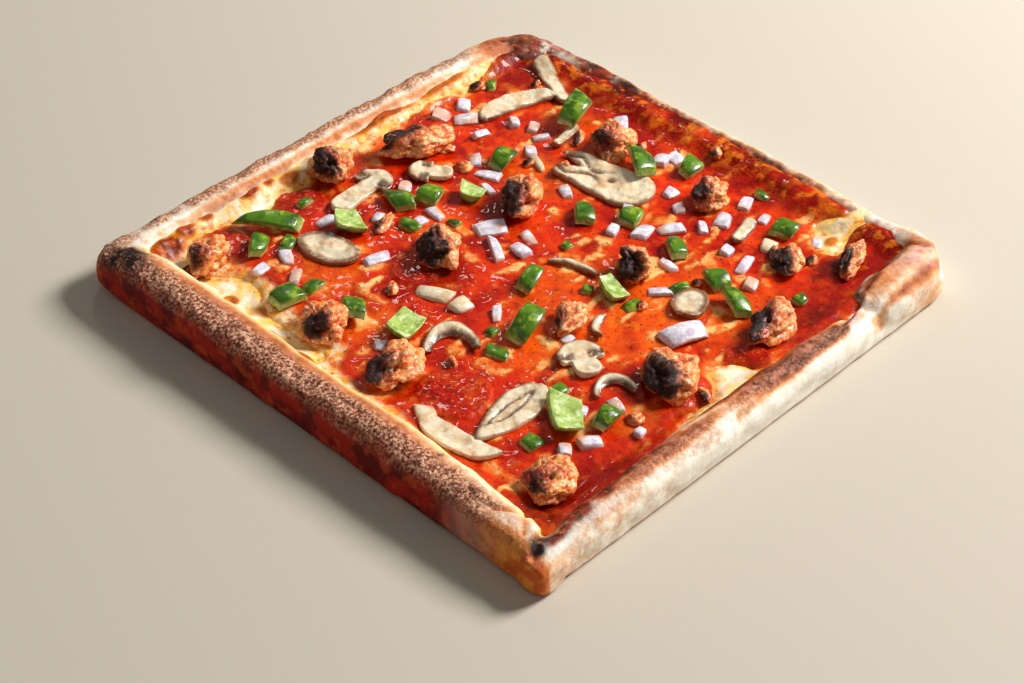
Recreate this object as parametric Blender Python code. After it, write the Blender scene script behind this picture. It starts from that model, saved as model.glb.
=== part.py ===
"""A square pan pizza: a hand-rolled dough rim round a flat base, a layer of melted cheese,
tomato sauce over it, and loose toppings of sausage, mushroom, green pepper and onion.

Lengths in the tables are millimetres. X runs along the front right rim, Y along the front
left rim, Z is up, and the origin is under the middle of the pizza, on the table.
"""

import math
import random

import bmesh
import bpy
from mathutils import Euler, Matrix, Vector, noise
from mathutils.bvhtree import BVHTree

MM = 0.001
SIDE = 300.0
GAP = 0.35
REST_GAP = 0.45
DROP_HEIGHT = 60.0

# The dough: a flat base, and rolls of dough laid round its edge.
BASE_THICKNESS = 9.0
BASE_HALF = 148.6
BASE_CORNER = 20.0
BASE_ROUND = 2.5
ROLL_SIDES = 10
ROLL_RINGS = 22
ROLL_END = 11.0
ROLL_END_STEPS = (0.0, 0.12, 0.5, 1.0)
ROLL_SQUARENESS = 2.5
DOUGH_BUMP = 0.8
DOUGH_BUMP_SPACING = 26.0

# Each roll runs through its knots: x, y, width, underside, top.
ROLLS = {
    "left_foot": [
        (-141.5, -158, 17, 0.4, 15),
        (-141.5, -125, 17, 0.4, 14),
        (-141.5, -60, 17, 0.4, 12.5),
        (-141, 30, 17, 0.4, 12),
        (-141, 100, 17, 0.4, 13),
        (-138.5, 132, 20, 0.4, 14),
    ],
    "left_roll": [
        (-140.5, -143, 17, 6, 19),
        (-139.5, -128, 20, 5.5, 22),
        (-138.5, -100, 22, 5.5, 23),
        (-137.5, -50, 24, 5.5, 24.5),
        (-138.5, 0, 23, 5.5, 24),
        (-138, 60, 25, 5.5, 25),
        (-138, 107, 25, 5.5, 25.5),
        (-138.5, 137, 22, 6, 24.5),
    ],
    "front_roll": [
        (-160, -142.5, 16, 0.5, 15),
        (-143, -142, 16, 0.8, 17.5),
        (-112, -141.5, 16.5, 1, 22),
        (-60, -141, 18, 1, 22),
        (-10, -140.5, 18.5, 1, 21.5),
        (40, -141, 17, 1, 21),
        (86, -142.5, 14, 1, 19.5),
    ],
    "right_corner_roll": [
        (80, -139.5, 19, 1.5, 22.5),
        (104, -138, 25, 1.5, 25),
        (122, -137.5, 25, 1.5, 25.5),
        (134.5, -134, 21, 1.5, 24.5),
        (140, -125, 18, 1.5, 23),
        (142, -110, 16, 1.5, 21),
    ],
    "back_right_roll": [
        (140, -134, 15, 1.5, 20),
        (143.5, -60, 12.5, 1.5, 20),
        (144, 0, 12, 1.5, 19.5),
        (143.5, 60, 12.5, 1.5, 20.5),
        (140, 130, 16, 1.5, 21.5),
    ],
    "back_left_roll": [
        (-141, 112, 17, 1, 20),
        (-138.5, 138, 23, 1, 21.5),
        (-112, 140, 20, 1, 22.5),
        (-50, 140.5, 19, 1, 23),
        (20, 141, 18, 1, 23.5),
        (90, 141, 18, 1, 22.5),
        (127, 137, 21, 1, 22),
        (140.5, 112, 16, 1, 21),
    ],
    "back_blister": [
        (122, 138, 12, 8, 21),
        (135, 134, 16, 8, 22),
        (142, 122, 12, 8, 21.5),
    ],
}

# The filling: melted cheese on the base, and sauce on the cheese inside its own outline.
FILL_HALF = 144.0
FILL_CELLS = 21
CHEESE_LEVEL = 12.0
CHEESE_MOUND = 1.6
CHEESE_MOUND_SPACING = 21.0
SAUCE_DEPTH = 2.2
SAUCE_LIP = 0.7
SAUCE_LIP_WIDTH = 12.0
SAUCE_RIPPLE = 0.45
SAUCE_RIPPLE_SPACING = 30.0
RIM_CLIMB = {"left": 2.2, "front": 2.0, "right": 5.0, "back": 3.2}
RIM_CLIMB_WIDTH = {"left": 10.0, "front": 10.0, "right": 18.0, "back": 16.0}
RIM_INNER = {"left": -126.5, "front": -131.5, "right": 138.0, "back": 131.5}
SAUCE_OUTLINE_STEPS = 4
SAUCE_OUTLINE = [
    (-132, -137), (-60, -138), (-34, -128), (-14, -127), (2, -112), (14, -120), (22, -134),
    (70, -138), (143, -138), (143, -104), (128, -97), (112, -101), (108, -90), (124, -78),
    (143, -72), (143, 128), (122, 134), (104, 129), (86, 124), (62, 128), (24, 125),
    (-8, 129), (-30, 123), (-52, 124), (-66, 116), (-84, 124), (-108, 124), (-116, 104),
    (-104, 88), (-106, 74), (-113, 60), (-115, 32), (-116, 18), (-130, 8), (-132, -60),
]  # fmt: skip

# Sausage lumps: x, y, length, width, height, turn in degrees.
SAUSAGES = [
    (-110, 107, 24, 17, 12, 30),
    (-104, 31, 25, 19, 13, 55),
    (-102, -15, 29, 19, 12, 20),
    (-19, 119, 24, 20, 15, 60),
    (27, 104, 39, 21, 14, -20),
    (-28, 33, 27, 20, 15, 45),
    (31, 33, 28, 19, 15, 25),
    (99, 34, 24, 19, 14, 40),
    (29, -42, 21, 15, 14, 50),
    (100, -31, 23, 17, 12, 20),
    (-21, -46, 22, 13, 9, 20),
    (-20, -107, 31, 24, 14, 40),
    (-109, -116, 26, 21, 11, 20),
    (43, -116, 33, 17, 11, 10),
    (87, -90, 21, 14, 8, 30),
    (110, -111, 29, 10, 8, 20),
]

# Mushroom slices: cut, x, y, length, width, turn in degrees, lift of the far end.
MUSHROOMS = [
    ("oval", -62, 74, 35, 21, -78, 0),
    ("whole", -19, 97, 40, 21, 8, 0),
    ("whole", 17, 84, 23, 18, 125, 0),
    ("half", 92, 98, 47, 15, -14, 0),
    ("strip", 121, 97, 42, 10, 64, 0),
    ("fan", 75, 19, 58, 29, -82, 0),
    ("arch", -68, -15, 27, 19, -40, 0),
    ("leaf", -87, -71, 47, 19, 186, 0),
    ("half", -116.5, -65, 46, 17, 94, 0),
    ("whole", -37, -69, 25, 23, 65, 0),
    ("arch", -40, -90, 20, 14, -35, 0),
    ("oval", 29, -77, 21, 18, 20, 0),
    ("crescent", 12, -19, 27, 7, -72, 0),
    ("crescent", -14, -58, 18, 7, 35, 0),
    ("strip", 91, -59, 21, 8, 15, 0),
    ("strip", 89, 58, 22, 7, 12, 0),
]
SLICE_THICKNESS = 3.4

# Green pepper dice: x, y, length, width, turn in degrees, tilt in degrees.
PEPPERS = [
    (-70, 108, 29, 10, -50, 8),
    (-86, 97, 14, 12, 40, 20),
    (-44, 79, 14, 12, 60, 15),
    (-11, 78, 13, 11, 60, 0),
    (3, 68, 13, 11, 20, 10),
    (17, 56, 13, 11, -60, 0),
    (50, 66, 16, 10, 10, 8),
    (104, 64, 20, 12, 25, 12),
    (96, 12, 19, 11, 62, 18),
    (45, 5, 14, 12, 45, 12),
    (60, -13, 14, 11, 20, 0),
    (113, -7, 15, 10, 5, 14),
    (-81, 4, 19, 13, 8, 12),
    (-86, 30, 15, 9, 62, 15),
    (-103, 61, 15, 10, -10, 0),
    (-39, -37, 22, 11, 12, 16),
    (-13, -13, 16, 11, 20, 8),
    (9, -46, 14, 11, 75, 12),
    (57, -45, 16, 11, 60, 10),
    (52, -77, 13, 10, 70, 0),
    (44, -94, 17, 10, 65, 14),
    (-73, -91, 22, 12, 45, 12),
    (-61, -105, 15, 12, 20, 16),
    (106, -75, 12, 11, 10, 8),
]
PEPPER_THICKNESS = 3.6
ONION_PETAL = (10, -91, 22, 11, -20, 6)
ONION_THICKNESS = 2.2

# Small pieces fused to the sauce: x, y, length, width, turn in degrees.
ONION_DICE = [
    (-96, 85, 9, 6, 10), (-81, 83, 11, 6, 60), (-88, 69, 10, 6, 35), (-47, 92, 12, 6, -5),
    (-50, 52, 14, 7, -15), (1, 85, 9, 7, 40), (-5, 58, 12, 6, 80), (-15, 59, 7, 6, 0),
    (6, 30, 15, 11, -20), (-5, 17, 17, 5, 60), (3, 8, 11, 8, 80), (13, 12, 12, 6, 70),
    (37, 63, 15, 7, -65), (42, 77, 12, 6, 50), (64, 105, 13, 8, -35), (57, 117, 11, 9, 20),
    (73, 116, 11, 7, 40), (80, 86, 10, 6, 55), (84, 76, 8, 6, 30), (118, 46, 13, 11, 40),
    (109, 9, 12, 8, 20), (115, 5, 8, 9, 0), (57, -24, 13, 7, 15), (67, -32, 15, 8, -30),
    (27, -61, 13, 7, -45), (90, -13, 8, 7, 0), (91, -46, 11, 8, 20), (74, -63, 9, 7, 10),
    (62, -87, 9, 7, 20), (-50, -101, 11, 5, 65), (-75, -109, 11, 7, -30),
    (-87, -104, 9, 5, 45), (72, -76, 14, 5, 15), (28, 54, 9, 5, 80), (110, -45, 10, 6, 25),
    (107, -60, 9, 5, 15), (45, -50, 11, 5, 85), (79, -43, 9, 4, 50), (53, 25, 10, 6, 60),
    (68, 63, 10, 6, 50), (-40, -18, 11, 5, 45), (113, -88, 8, 5, 30), (80, 67, 9, 5, -30),
    (60, 90, 9, 5, -10), (-28, 76, 8, 5, 25),
]  # fmt: skip
PEPPER_BITS = [
    (-73, 91, 12, 7, 30), (-21, 60, 7, 12, 10), (97, 119, 9, 6, 40), (-87, 58, 12, 7, 10),
    (-60, -37, 8, 11, 20), (10, -60, 13, 7, -15), (35, -66, 12, 6, -25), (-93, -90, 10, 9, 0),
    (-60, -76, 9, 7, 10), (69, -112, 7, 6, 0), (-46, 109, 9, 5, 5),
]  # fmt: skip
MUSHROOM_BITS = [(-48, -2, 11, 10, 0), (91, -75, 10, 8, 20), (62, 52, 13, 5, 70)]
BIT_HEIGHT = {"onion": 2.4, "pepper": 3.2, "mushroom": 2.6}
ROUNDED_DIE = 10.5


def clear_scene():
    for item in list(bpy.data.objects):
        bpy.data.objects.remove(item)


def new_collection(name):
    group = bpy.data.collections.new(name)
    bpy.context.scene.collection.children.link(group)
    return group


def finish(name, colour, roughness):
    material = bpy.data.materials.new(name)
    material.use_nodes = True
    shader = material.node_tree.nodes["Principled BSDF"]
    shader.inputs["Base Color"].default_value = (*colour, 1.0)
    shader.inputs["Roughness"].default_value = roughness
    shader.inputs["Metallic"].default_value = 0.0
    return material


def new_object(name, work, group, material=None):
    """An object from a bmesh whose lengths are millimetres."""
    work.transform(Matrix.Scale(MM, 4))
    bmesh.ops.recalc_face_normals(work, faces=work.faces)
    if work.calc_volume(signed=True) < 0:
        bmesh.ops.reverse_faces(work, faces=work.faces)
    mesh = bpy.data.meshes.new(name)
    work.to_mesh(mesh)
    work.free()
    made = bpy.data.objects.new(name, mesh)
    group.objects.link(made)
    if material:
        mesh.materials.append(material)
    return made


def apply_modifiers(item):
    graph = bpy.context.evaluated_depsgraph_get()
    item.data = bpy.data.meshes.new_from_object(item.evaluated_get(graph))
    item.modifiers.clear()


def through(knots, share):
    """The values on the smooth curve through the knots, at a share of the way along."""
    spans = len(knots) - 1
    span = min(int(share * spans), spans - 1)
    u = share * spans - span
    near = [knots[max(span - 1, 0)], knots[span], knots[span + 1], knots[min(span + 2, spans)]]
    return [
        0.5 * (2 * b + (c - a) * u + (2 * a - 5 * b + 4 * c - d) * u**2 + (3 * b - a - 3 * c + d) * u**3)
        for a, b, c, d in zip(*near)
    ]


def unevenness(point, spacing, seed=0.0):
    """Smooth bumps from -1 to 1, the same each time."""
    return noise.noise(Vector(point) / spacing + Vector((seed, 0.37 * seed, 1.3)))


def eased(value):
    value = min(max(value, 0.0), 1.0)
    return value * value * (3 - 2 * value)


def signed_power(value, power):
    return math.copysign(abs(value) ** power, value)


def dough_roll(name, knots, swell, group):
    """A length of rolled dough: a sphere drawn out along the knots, squarish across."""
    work = bmesh.new()
    bmesh.ops.create_uvsphere(work, u_segments=ROLL_SIDES, v_segments=ROLL_RINGS, radius=1)
    length = sum(math.dist(a[:2], b[:2]) for a, b in zip(knots, knots[1:]))
    last_step = len(ROLL_END_STEPS) - 1
    middle_rings = ROLL_RINGS - 2 * last_step

    def along(ring):
        """How far along the roll a ring lies, with rings close together at its ends."""
        if ring <= last_step:
            return ROLL_END * ROLL_END_STEPS[ring]
        if ring >= ROLL_RINGS - last_step:
            return length - ROLL_END * ROLL_END_STEPS[ROLL_RINGS - ring]
        return ROLL_END + (length - 2 * ROLL_END) * (ring - last_step) / middle_rings

    for vertex in work.verts:
        ring = round(math.acos(max(-1.0, min(1.0, vertex.co.z))) / math.pi * ROLL_RINGS)
        angle = math.atan2(vertex.co.y, vertex.co.x)
        place = along(ring)
        share = place / length
        x, y, width, under, top = through(knots, share)
        ahead = through(knots, min(share + 0.01, 1.0))
        behind = through(knots, max(share - 0.01, 0.0))
        side = Vector((ahead[1] - behind[1], behind[0] - ahead[0], 0)).normalized()
        from_end = min(place, length - place) / ROLL_END
        rounding = math.sqrt(1 - (1 - from_end) ** 2) if from_end < 1 else 1.0
        if ring in (0, ROLL_RINGS):
            across, rise = 0.0, 0.0
        else:
            across = signed_power(math.cos(angle), 2 / ROLL_SQUARENESS)
            rise = signed_power(math.sin(angle), 2 / ROLL_SQUARENESS)
        centre = Vector((x, y, (under + top) / 2))
        reach = side * across * (width / 2 * rounding + swell)
        reach.z = rise * ((top - under) / 2 * rounding + swell)
        point = centre + reach
        if reach.length > 0:
            point += reach.normalized() * DOUGH_BUMP * unevenness(point, DOUGH_BUMP_SPACING)
        half = SIDE / 2
        vertex.co = (
            min(max(point.x, -half), half),
            min(max(point.y, -half), half),
            max(point.z, 0.3),
        )
    return new_object(name, work, group)


def dough_base(swell, group):
    work = bmesh.new()
    bmesh.ops.create_cube(work, size=2)
    bmesh.ops.scale(work, vec=(BASE_HALF, BASE_HALF, BASE_THICKNESS / 2), verts=work.verts)
    bmesh.ops.translate(work, vec=(0, 0, BASE_THICKNESS / 2), verts=work.verts)
    upright = [e for e in work.edges if abs(e.verts[0].co.z - e.verts[1].co.z) > 1]
    bmesh.ops.bevel(
        work, geom=upright, offset=BASE_CORNER, segments=5, profile=0.5, affect="EDGES", material=-1
    )
    around = [e for e in work.edges if max(v.co.z for v in e.verts) < 1]
    bmesh.ops.bevel(
        work, geom=around, offset=BASE_ROUND, segments=2, profile=0.5, affect="EDGES", material=-1
    )
    for vertex in work.verts:
        if vertex.co.z > BASE_THICKNESS - 0.1:
            vertex.co.z += swell
    return new_object("base", work, group)


def boolean(item, operation, other=None, group=None):
    modifier = item.modifiers.new(operation.lower(), "BOOLEAN")
    modifier.operation = operation
    modifier.solver = "MANIFOLD"
    if group:
        modifier.operand_type = "COLLECTION"
        modifier.collection = group
    else:
        modifier.object = other
    apply_modifiers(item)


def join_on(item, group):
    """Joins a collection's objects to the item by one union, and removes them."""
    boolean(item, "UNION", group=group)
    for helper in list(group.objects):
        bpy.data.objects.remove(helper)
    bpy.data.collections.remove(group)


def make_dough(name, swell, group):
    """The dough in one piece. A swell makes it that much fatter, to cut its neighbours."""
    made = dough_base(swell, group)
    rolls = new_collection(name + "_rolls")
    for roll_name, knots in ROLLS.items():
        dough_roll(roll_name, knots, swell, rolls)
    join_on(made, rolls)
    made.name = name
    return made


def rim_climb(x, y):
    """How far the filling runs up the inside of the rim, in millimetres."""
    inward = {
        "left": x - RIM_INNER["left"],
        "front": y - RIM_INNER["front"],
        "right": RIM_INNER["right"] - x,
        "back": RIM_INNER["back"] - y,
    }
    return max(
        RIM_CLIMB[side] * eased(1 - inward[side] / RIM_CLIMB_WIDTH[side]) for side in inward
    )


def sauce_outline():
    """The sauce's edge, as a smooth closed curve through its outline points."""
    points = []
    count = len(SAUCE_OUTLINE)
    for index in range(count):
        near = [SAUCE_OUTLINE[(index + k) % count] for k in (-1, 0, 1, 2)]
        for step in range(SAUCE_OUTLINE_STEPS):
            points.append(Vector(through(near, (1 + step / SAUCE_OUTLINE_STEPS) / 3)))
    return points


def inside_edge(edge, x, y):
    """How far a point lies inside a closed edge, negative outside it."""
    here = Vector((x, y))
    inside = False
    nearest = math.inf
    for a, b in zip(edge, edge[1:] + edge[:1]):
        if (a.y > y) != (b.y > y) and x < (b.x - a.x) * (y - a.y) / (b.y - a.y) + a.x:
            inside = not inside
        span = b - a
        share = min(max((here - a).dot(span) / span.length_squared, 0), 1)
        nearest = min(nearest, (a + span * share - here).length)
    return nearest if inside else -nearest


def cheese_top(edge, x, y):
    """The cheese is level under the sauce, and mounded and browned where it lies bare."""
    bare = eased(-inside_edge(edge, x, y) / 8 + 0.3)
    mound = CHEESE_MOUND * (0.8 + unevenness((x, y, 0), CHEESE_MOUND_SPACING, 4))
    return CHEESE_LEVEL + rim_climb(x, y) + bare * mound


def sauce_top(edge, x, y):
    deep = eased(inside_edge(edge, x, y) / SAUCE_LIP_WIDTH)
    ripple = SAUCE_RIPPLE * unevenness((x, y, 0), SAUCE_RIPPLE_SPACING, 9)
    cover = SAUCE_LIP + (SAUCE_DEPTH - SAUCE_LIP + ripple) * deep
    return cheese_top(edge, x, y) + GAP + cover


def slab(name, under, top, group, material):
    """A closed slab over a square grid, with an uneven underside and top."""
    work = bmesh.new()
    bmesh.ops.create_grid(work, x_segments=FILL_CELLS, y_segments=FILL_CELLS, size=FILL_HALF)
    bmesh.ops.triangulate(work, faces=work.faces, quad_method="FIXED", ngon_method="BEAUTY")
    lifted = bmesh.ops.extrude_face_region(work, geom=work.faces[:], use_keep_orig=True)
    upper = {v for v in lifted["geom"] if isinstance(v, bmesh.types.BMVert)}
    for vertex in work.verts:
        surface = top if vertex in upper else under
        vertex.co.z = surface(vertex.co.x, vertex.co.y)
    return new_object(name, work, group, material)


def prism(name, outline, low, high, group):
    """An upright prism over a closed outline."""
    work = bmesh.new()
    face = work.faces.new([work.verts.new((p.x, p.y, low)) for p in outline])
    lifted = bmesh.ops.extrude_face_region(work, geom=[face], use_keep_orig=True)
    upper = [v for v in lifted["geom"] if isinstance(v, bmesh.types.BMVert)]
    bmesh.ops.translate(work, vec=(0, 0, high - low), verts=upper)
    return new_object(name, work, group)


def merge_flat_faces(item):
    modifier = item.modifiers.new("flat", "DECIMATE")
    modifier.decimate_type = "DISSOLVE"
    modifier.angle_limit = math.radians(0.02)
    apply_modifiers(item)


def dice(work, length, width, height, seed):
    """An unevenly cut die standing on zero. A large one has its upright edges taken off."""
    draw = random.Random(seed)
    bmesh.ops.create_cube(work, size=1)
    if length > ROUNDED_DIE:
        upright = [e for e in work.edges if abs(e.verts[0].co.z - e.verts[1].co.z) > 0.5]
        bmesh.ops.bevel(
            work, geom=upright, offset=0.2, segments=1, profile=0.5, affect="EDGES", material=-1
        )
    bmesh.ops.scale(work, vec=(length, width, height), verts=work.verts)
    bmesh.ops.translate(work, vec=(0, 0, height / 2), verts=work.verts)
    for vertex in work.verts:
        shrink = 0.86 if vertex.co.z > height / 2 else 1.0
        vertex.co.x *= shrink
        vertex.co.y *= shrink
        vertex.co += Vector([draw.uniform(-0.06, 0.06) * s for s in (length, width, height)])


def small_pieces(edge, group):
    """The diced onion, pepper and mushroom that the sauce holds, a little sunk in it."""
    kinds = {"onion": ONION_DICE, "pepper": PEPPER_BITS, "mushroom": MUSHROOM_BITS}
    for kind, places in kinds.items():
        for index, (x, y, length, width, turn) in enumerate(places):
            work = bmesh.new()
            around = arc((x, y), (0.6 * length, 0.6 * length), 0, 315, 7)
            foot = max(cheese_top(edge, *point) for point in around) + 2 * GAP
            dice(work, length, width, sauce_top(edge, x, y) + BIT_HEIGHT[kind] - foot, index)
            work.transform(Matrix.Rotation(math.radians(turn), 4, "Z"))
            work.transform(Matrix.Translation((x, y, foot)))
            new_object(f"{kind}_bit_{index}", work, group)


def in_place(item):
    """The item's shape where it lies, in metres."""
    work = bmesh.new()
    work.from_mesh(item.data)
    work.transform(item.matrix_basis)
    return work


def touch_points(work):
    """Corners, and points along the edges and on the faces, where one shape may touch another."""
    points = [v.co.copy() for v in work.verts]
    for share in (0.2, 0.4, 0.6, 0.8):
        points += [e.verts[0].co.lerp(e.verts[1].co, share) for e in work.edges]
    return points + [f.calc_center_median() for f in work.faces]


def lay_down(item, x, y, turn, tilt, heap):
    """Turns and tilts a topping, and lowers it until it is just clear of all under it."""
    item.rotation_euler = Euler((math.radians(tilt), 0, math.radians(turn)))
    item.location = (x * MM, y * MM, DROP_HEIGHT * MM)
    shape = in_place(item)
    shape_tree = BVHTree.FromBMesh(shape)
    down, up = Vector((0, 0, -1)), Vector((0, 0, 1))
    room = DROP_HEIGHT * MM
    for under in heap:
        under_tree = BVHTree.FromBMesh(under)
        for point in touch_points(shape):
            distance = under_tree.ray_cast(point, down)[3]
            room = min(room, distance if distance is not None else room)
        for point in touch_points(under):
            distance = shape_tree.ray_cast(point, up)[3]
            room = min(room, distance if distance is not None else room)
    item.location.z -= room - REST_GAP * MM
    shape.free()
    heap.append(in_place(item))


def sausage_lump(name, length, width, height, seed, group, material):
    """A torn lump of sausage meat, rounded above and flat where it lies."""
    work = bmesh.new()
    bmesh.ops.create_uvsphere(work, u_segments=10, v_segments=8, radius=1)
    for vertex in work.verts:
        lump = 1 + 0.42 * unevenness(vertex.co, 0.72, seed * 3.1)
        point = vertex.co * lump
        vertex.co = (
            point.x * length / 2,
            point.y * width / 2,
            max(height * (0.42 + 0.58 * point.z), 0),
        )
    return new_object(name, work, group, material)


def arc(centre, radii, start, stop, steps):
    """Points on part of an ellipse, from start to stop in degrees."""
    angles = [math.radians(start + (stop - start) * k / steps) for k in range(steps + 1)]
    return [(centre[0] + radii[0] * math.cos(a), centre[1] + radii[1] * math.sin(a)) for a in angles]


def slice_outline(cut, length, width):
    """A mushroom slice seen flat. The cap is at +X and the foot of the stem at -X."""
    half, across = length / 2, width / 2
    if cut == "oval":
        return arc((0, 0), (half, across), 0, 337.5, 15)
    if cut == "leaf":
        round_end = arc((0, 0), (half, across), 0, 337.5, 15)
        return [(x, y * (1 - 0.45 * x / half)) for x, y in round_end]
    if cut == "half":
        outer = arc((0, -across), (half, width), 0, 180, 12)
        return outer + arc((0, -across), (half * 0.9, width * 0.12), 165, 15, 4)
    if cut == "fan":
        cap = arc((half - across, 0), (across, across), -90, 90, 10)
        forked_end = [
            (-half * 0.75, across * 0.86),
            (-half, across * 0.45),
            (-half * 0.45, across * 0.08),
            (-half * 0.9, -across * 0.25),
            (-half * 0.82, -across * 0.78),
        ]
        return cap + forked_end
    if cut == "strip":
        return arc((half - across, 0), (across, across), -75, 75, 4) + arc(
            (across - half, 0), (across, across * 0.8), 105, 255, 4
        )
    if cut == "crescent":
        outer = arc((0, -across), (half, width), 0, 180, 12)
        inner = arc((0, -across), (half * 0.9, width * 0.3), 170, 10, 6)
        return outer + inner
    if cut == "arch":
        outer = arc((0, -across), (half, width), -5, 185, 12)
        inner = arc((0, -across), (half * 0.66, width * 0.55), 180, 0, 8)
        return outer + inner
    cap_depth = min(length * 0.46, across * 1.05)
    lip = half - cap_depth
    stem = across * 0.5
    cap = arc((lip, 0), (cap_depth, across), -90, 90, 12)
    upper = [(lip - cap_depth * 0.28, across * 0.86), (lip - cap_depth * 0.12, stem)]
    foot = arc((-half + stem, 0), (stem, stem * 1.15), 105, 255, 4)
    lower = [(x, -y) for x, y in reversed(upper)]
    return cap + upper + foot + lower


def mushroom_slice(name, cut, length, width, group, material):
    """A slice of even thickness. Its outline is a flat face, lifted and triangulated."""
    work = bmesh.new()
    face = work.faces.new([work.verts.new((x, y, 0)) for x, y in slice_outline(cut, length, width)])
    lifted = bmesh.ops.extrude_face_region(work, geom=[face], use_keep_orig=True)
    upper = [v for v in lifted["geom"] if isinstance(v, bmesh.types.BMVert)]
    bmesh.ops.translate(work, vec=(0, 0, SLICE_THICKNESS), verts=upper)
    bmesh.ops.triangulate(work, faces=work.faces, quad_method="BEAUTY", ngon_method="EAR_CLIP")
    return new_object(name, work, group, material)


def curled_piece(name, length, width, thickness, seed, group, material):
    """A cut piece of vegetable wall: a short curved sheet with thickness."""
    draw = random.Random(seed)
    work = bmesh.new()
    bmesh.ops.create_grid(work, x_segments=4, y_segments=2, size=1)
    curl = draw.uniform(0.1, 0.2) * length
    for vertex in work.verts:
        x, y = vertex.co.x, vertex.co.y
        narrow = 1 - 0.22 * abs(x + draw.uniform(-0.15, 0.15))
        vertex.co = (
            x * length / 2 + draw.uniform(-0.03, 0.03) * length,
            y * narrow * width / 2 + draw.uniform(-0.04, 0.04) * width,
            curl * (1 - x * x) - 0.06 * width * y * y,
        )
    bmesh.ops.recalc_face_normals(work, faces=work.faces)
    bmesh.ops.solidify(work, geom=work.faces[:], thickness=thickness)
    return new_object(name, work, group, material)


def make_filling(edge, group, cheese_finish, sauce_finish):
    """Cheese and sauce, cut to the sauce's outline and to the inside of the dough."""
    cutters = new_collection("cutters")
    cheese = slab(
        "cheese", lambda x, y: BASE_THICKNESS - 2, lambda x, y: cheese_top(edge, x, y), group,
        cheese_finish,
    )  # fmt: skip
    sauce = slab(
        "sauce", lambda x, y: cheese_top(edge, x, y) + GAP, lambda x, y: sauce_top(edge, x, y),
        group, sauce_finish,
    )  # fmt: skip
    boolean(sauce, "INTERSECT", prism("sauce_edge", edge, 5, 40, cutters))
    swollen = make_dough("dough_cutter", GAP, cutters)
    for item in (cheese, sauce):
        boolean(item, "DIFFERENCE", swollen)
        keep_largest(item)
        merge_flat_faces(item)
    for helper in list(cutters.objects):
        bpy.data.objects.remove(helper)
    pieces = new_collection("small_pieces")
    small_pieces(edge, pieces)
    join_on(sauce, pieces)


def keep_largest(item):
    """Drops the loose scraps that a cut leaves."""
    work = bmesh.new()
    work.from_mesh(item.data)
    left = set(work.verts)
    islands = []
    while left:
        island = {left.pop()}
        fresh = list(island)
        while fresh:
            for edge in fresh.pop().link_edges:
                for vertex in edge.verts:
                    if vertex in left:
                        left.discard(vertex)
                        island.add(vertex)
                        fresh.append(vertex)
        islands.append(island)
    islands.sort(key=len)
    bmesh.ops.delete(work, geom=[v for i in islands[:-1] for v in i], context="VERTS")
    work.to_mesh(item.data)
    work.free()


def make_toppings(group, finishes):
    """Lays the toppings down one by one, the lower ones first."""
    heap = [in_place(item) for item in group.objects if item.name in ("crust", "cheese", "sauce")]
    for index, (cut, x, y, length, width, turn, tilt) in enumerate(MUSHROOMS, 1):
        piece = mushroom_slice(
            f"mushroom_{index:02d}", cut, length, width, group, finishes["mushroom"]
        )
        lay_down(piece, x, y, turn, tilt, heap)
    for index, (x, y, length, width, height, turn) in enumerate(SAUSAGES, 1):
        lump = sausage_lump(
            f"sausage_{index:02d}", length, width, height, index, group, finishes["sausage"]
        )
        lay_down(lump, x, y, turn, 0, heap)
    for index, (x, y, length, width, turn, tilt) in enumerate(PEPPERS, 1):
        piece = curled_piece(
            f"pepper_{index:02d}", length, width, PEPPER_THICKNESS, index, group, finishes["pepper"]
        )
        lay_down(piece, x, y, turn, tilt, heap)
    x, y, length, width, turn, tilt = ONION_PETAL
    petal = curled_piece(
        "onion_petal", length, width, ONION_THICKNESS, 77, group, finishes["onion"]
    )
    lay_down(petal, x, y, turn, tilt, heap)


def main():
    clear_scene()
    pizza = new_collection("pizza")
    finishes = {
        "dough": finish("baked_dough", (0.62, 0.36, 0.17), 0.8),
        "cheese": finish("melted_cheese", (0.86, 0.66, 0.33), 0.4),
        "sauce": finish("tomato_sauce", (0.55, 0.05, 0.015), 0.25),
        "sausage": finish("sausage_meat", (0.30, 0.09, 0.04), 0.5),
        "mushroom": finish("cooked_mushroom", (0.72, 0.60, 0.40), 0.5),
        "pepper": finish("green_pepper", (0.16, 0.36, 0.05), 0.35),
        "onion": finish("raw_onion", (0.85, 0.80, 0.74), 0.3),
    }
    crust = make_dough("crust", 0.0, pizza)
    crust.data.materials.clear()
    crust.data.materials.append(finishes["dough"])
    edge = sauce_outline()
    make_filling(edge, pizza, finishes["cheese"], finishes["sauce"])
    make_toppings(pizza, finishes)


main()
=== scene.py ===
import math
import random

import bmesh
import bpy
import numpy as np
from mathutils import Euler, Matrix, Vector, noise


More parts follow.
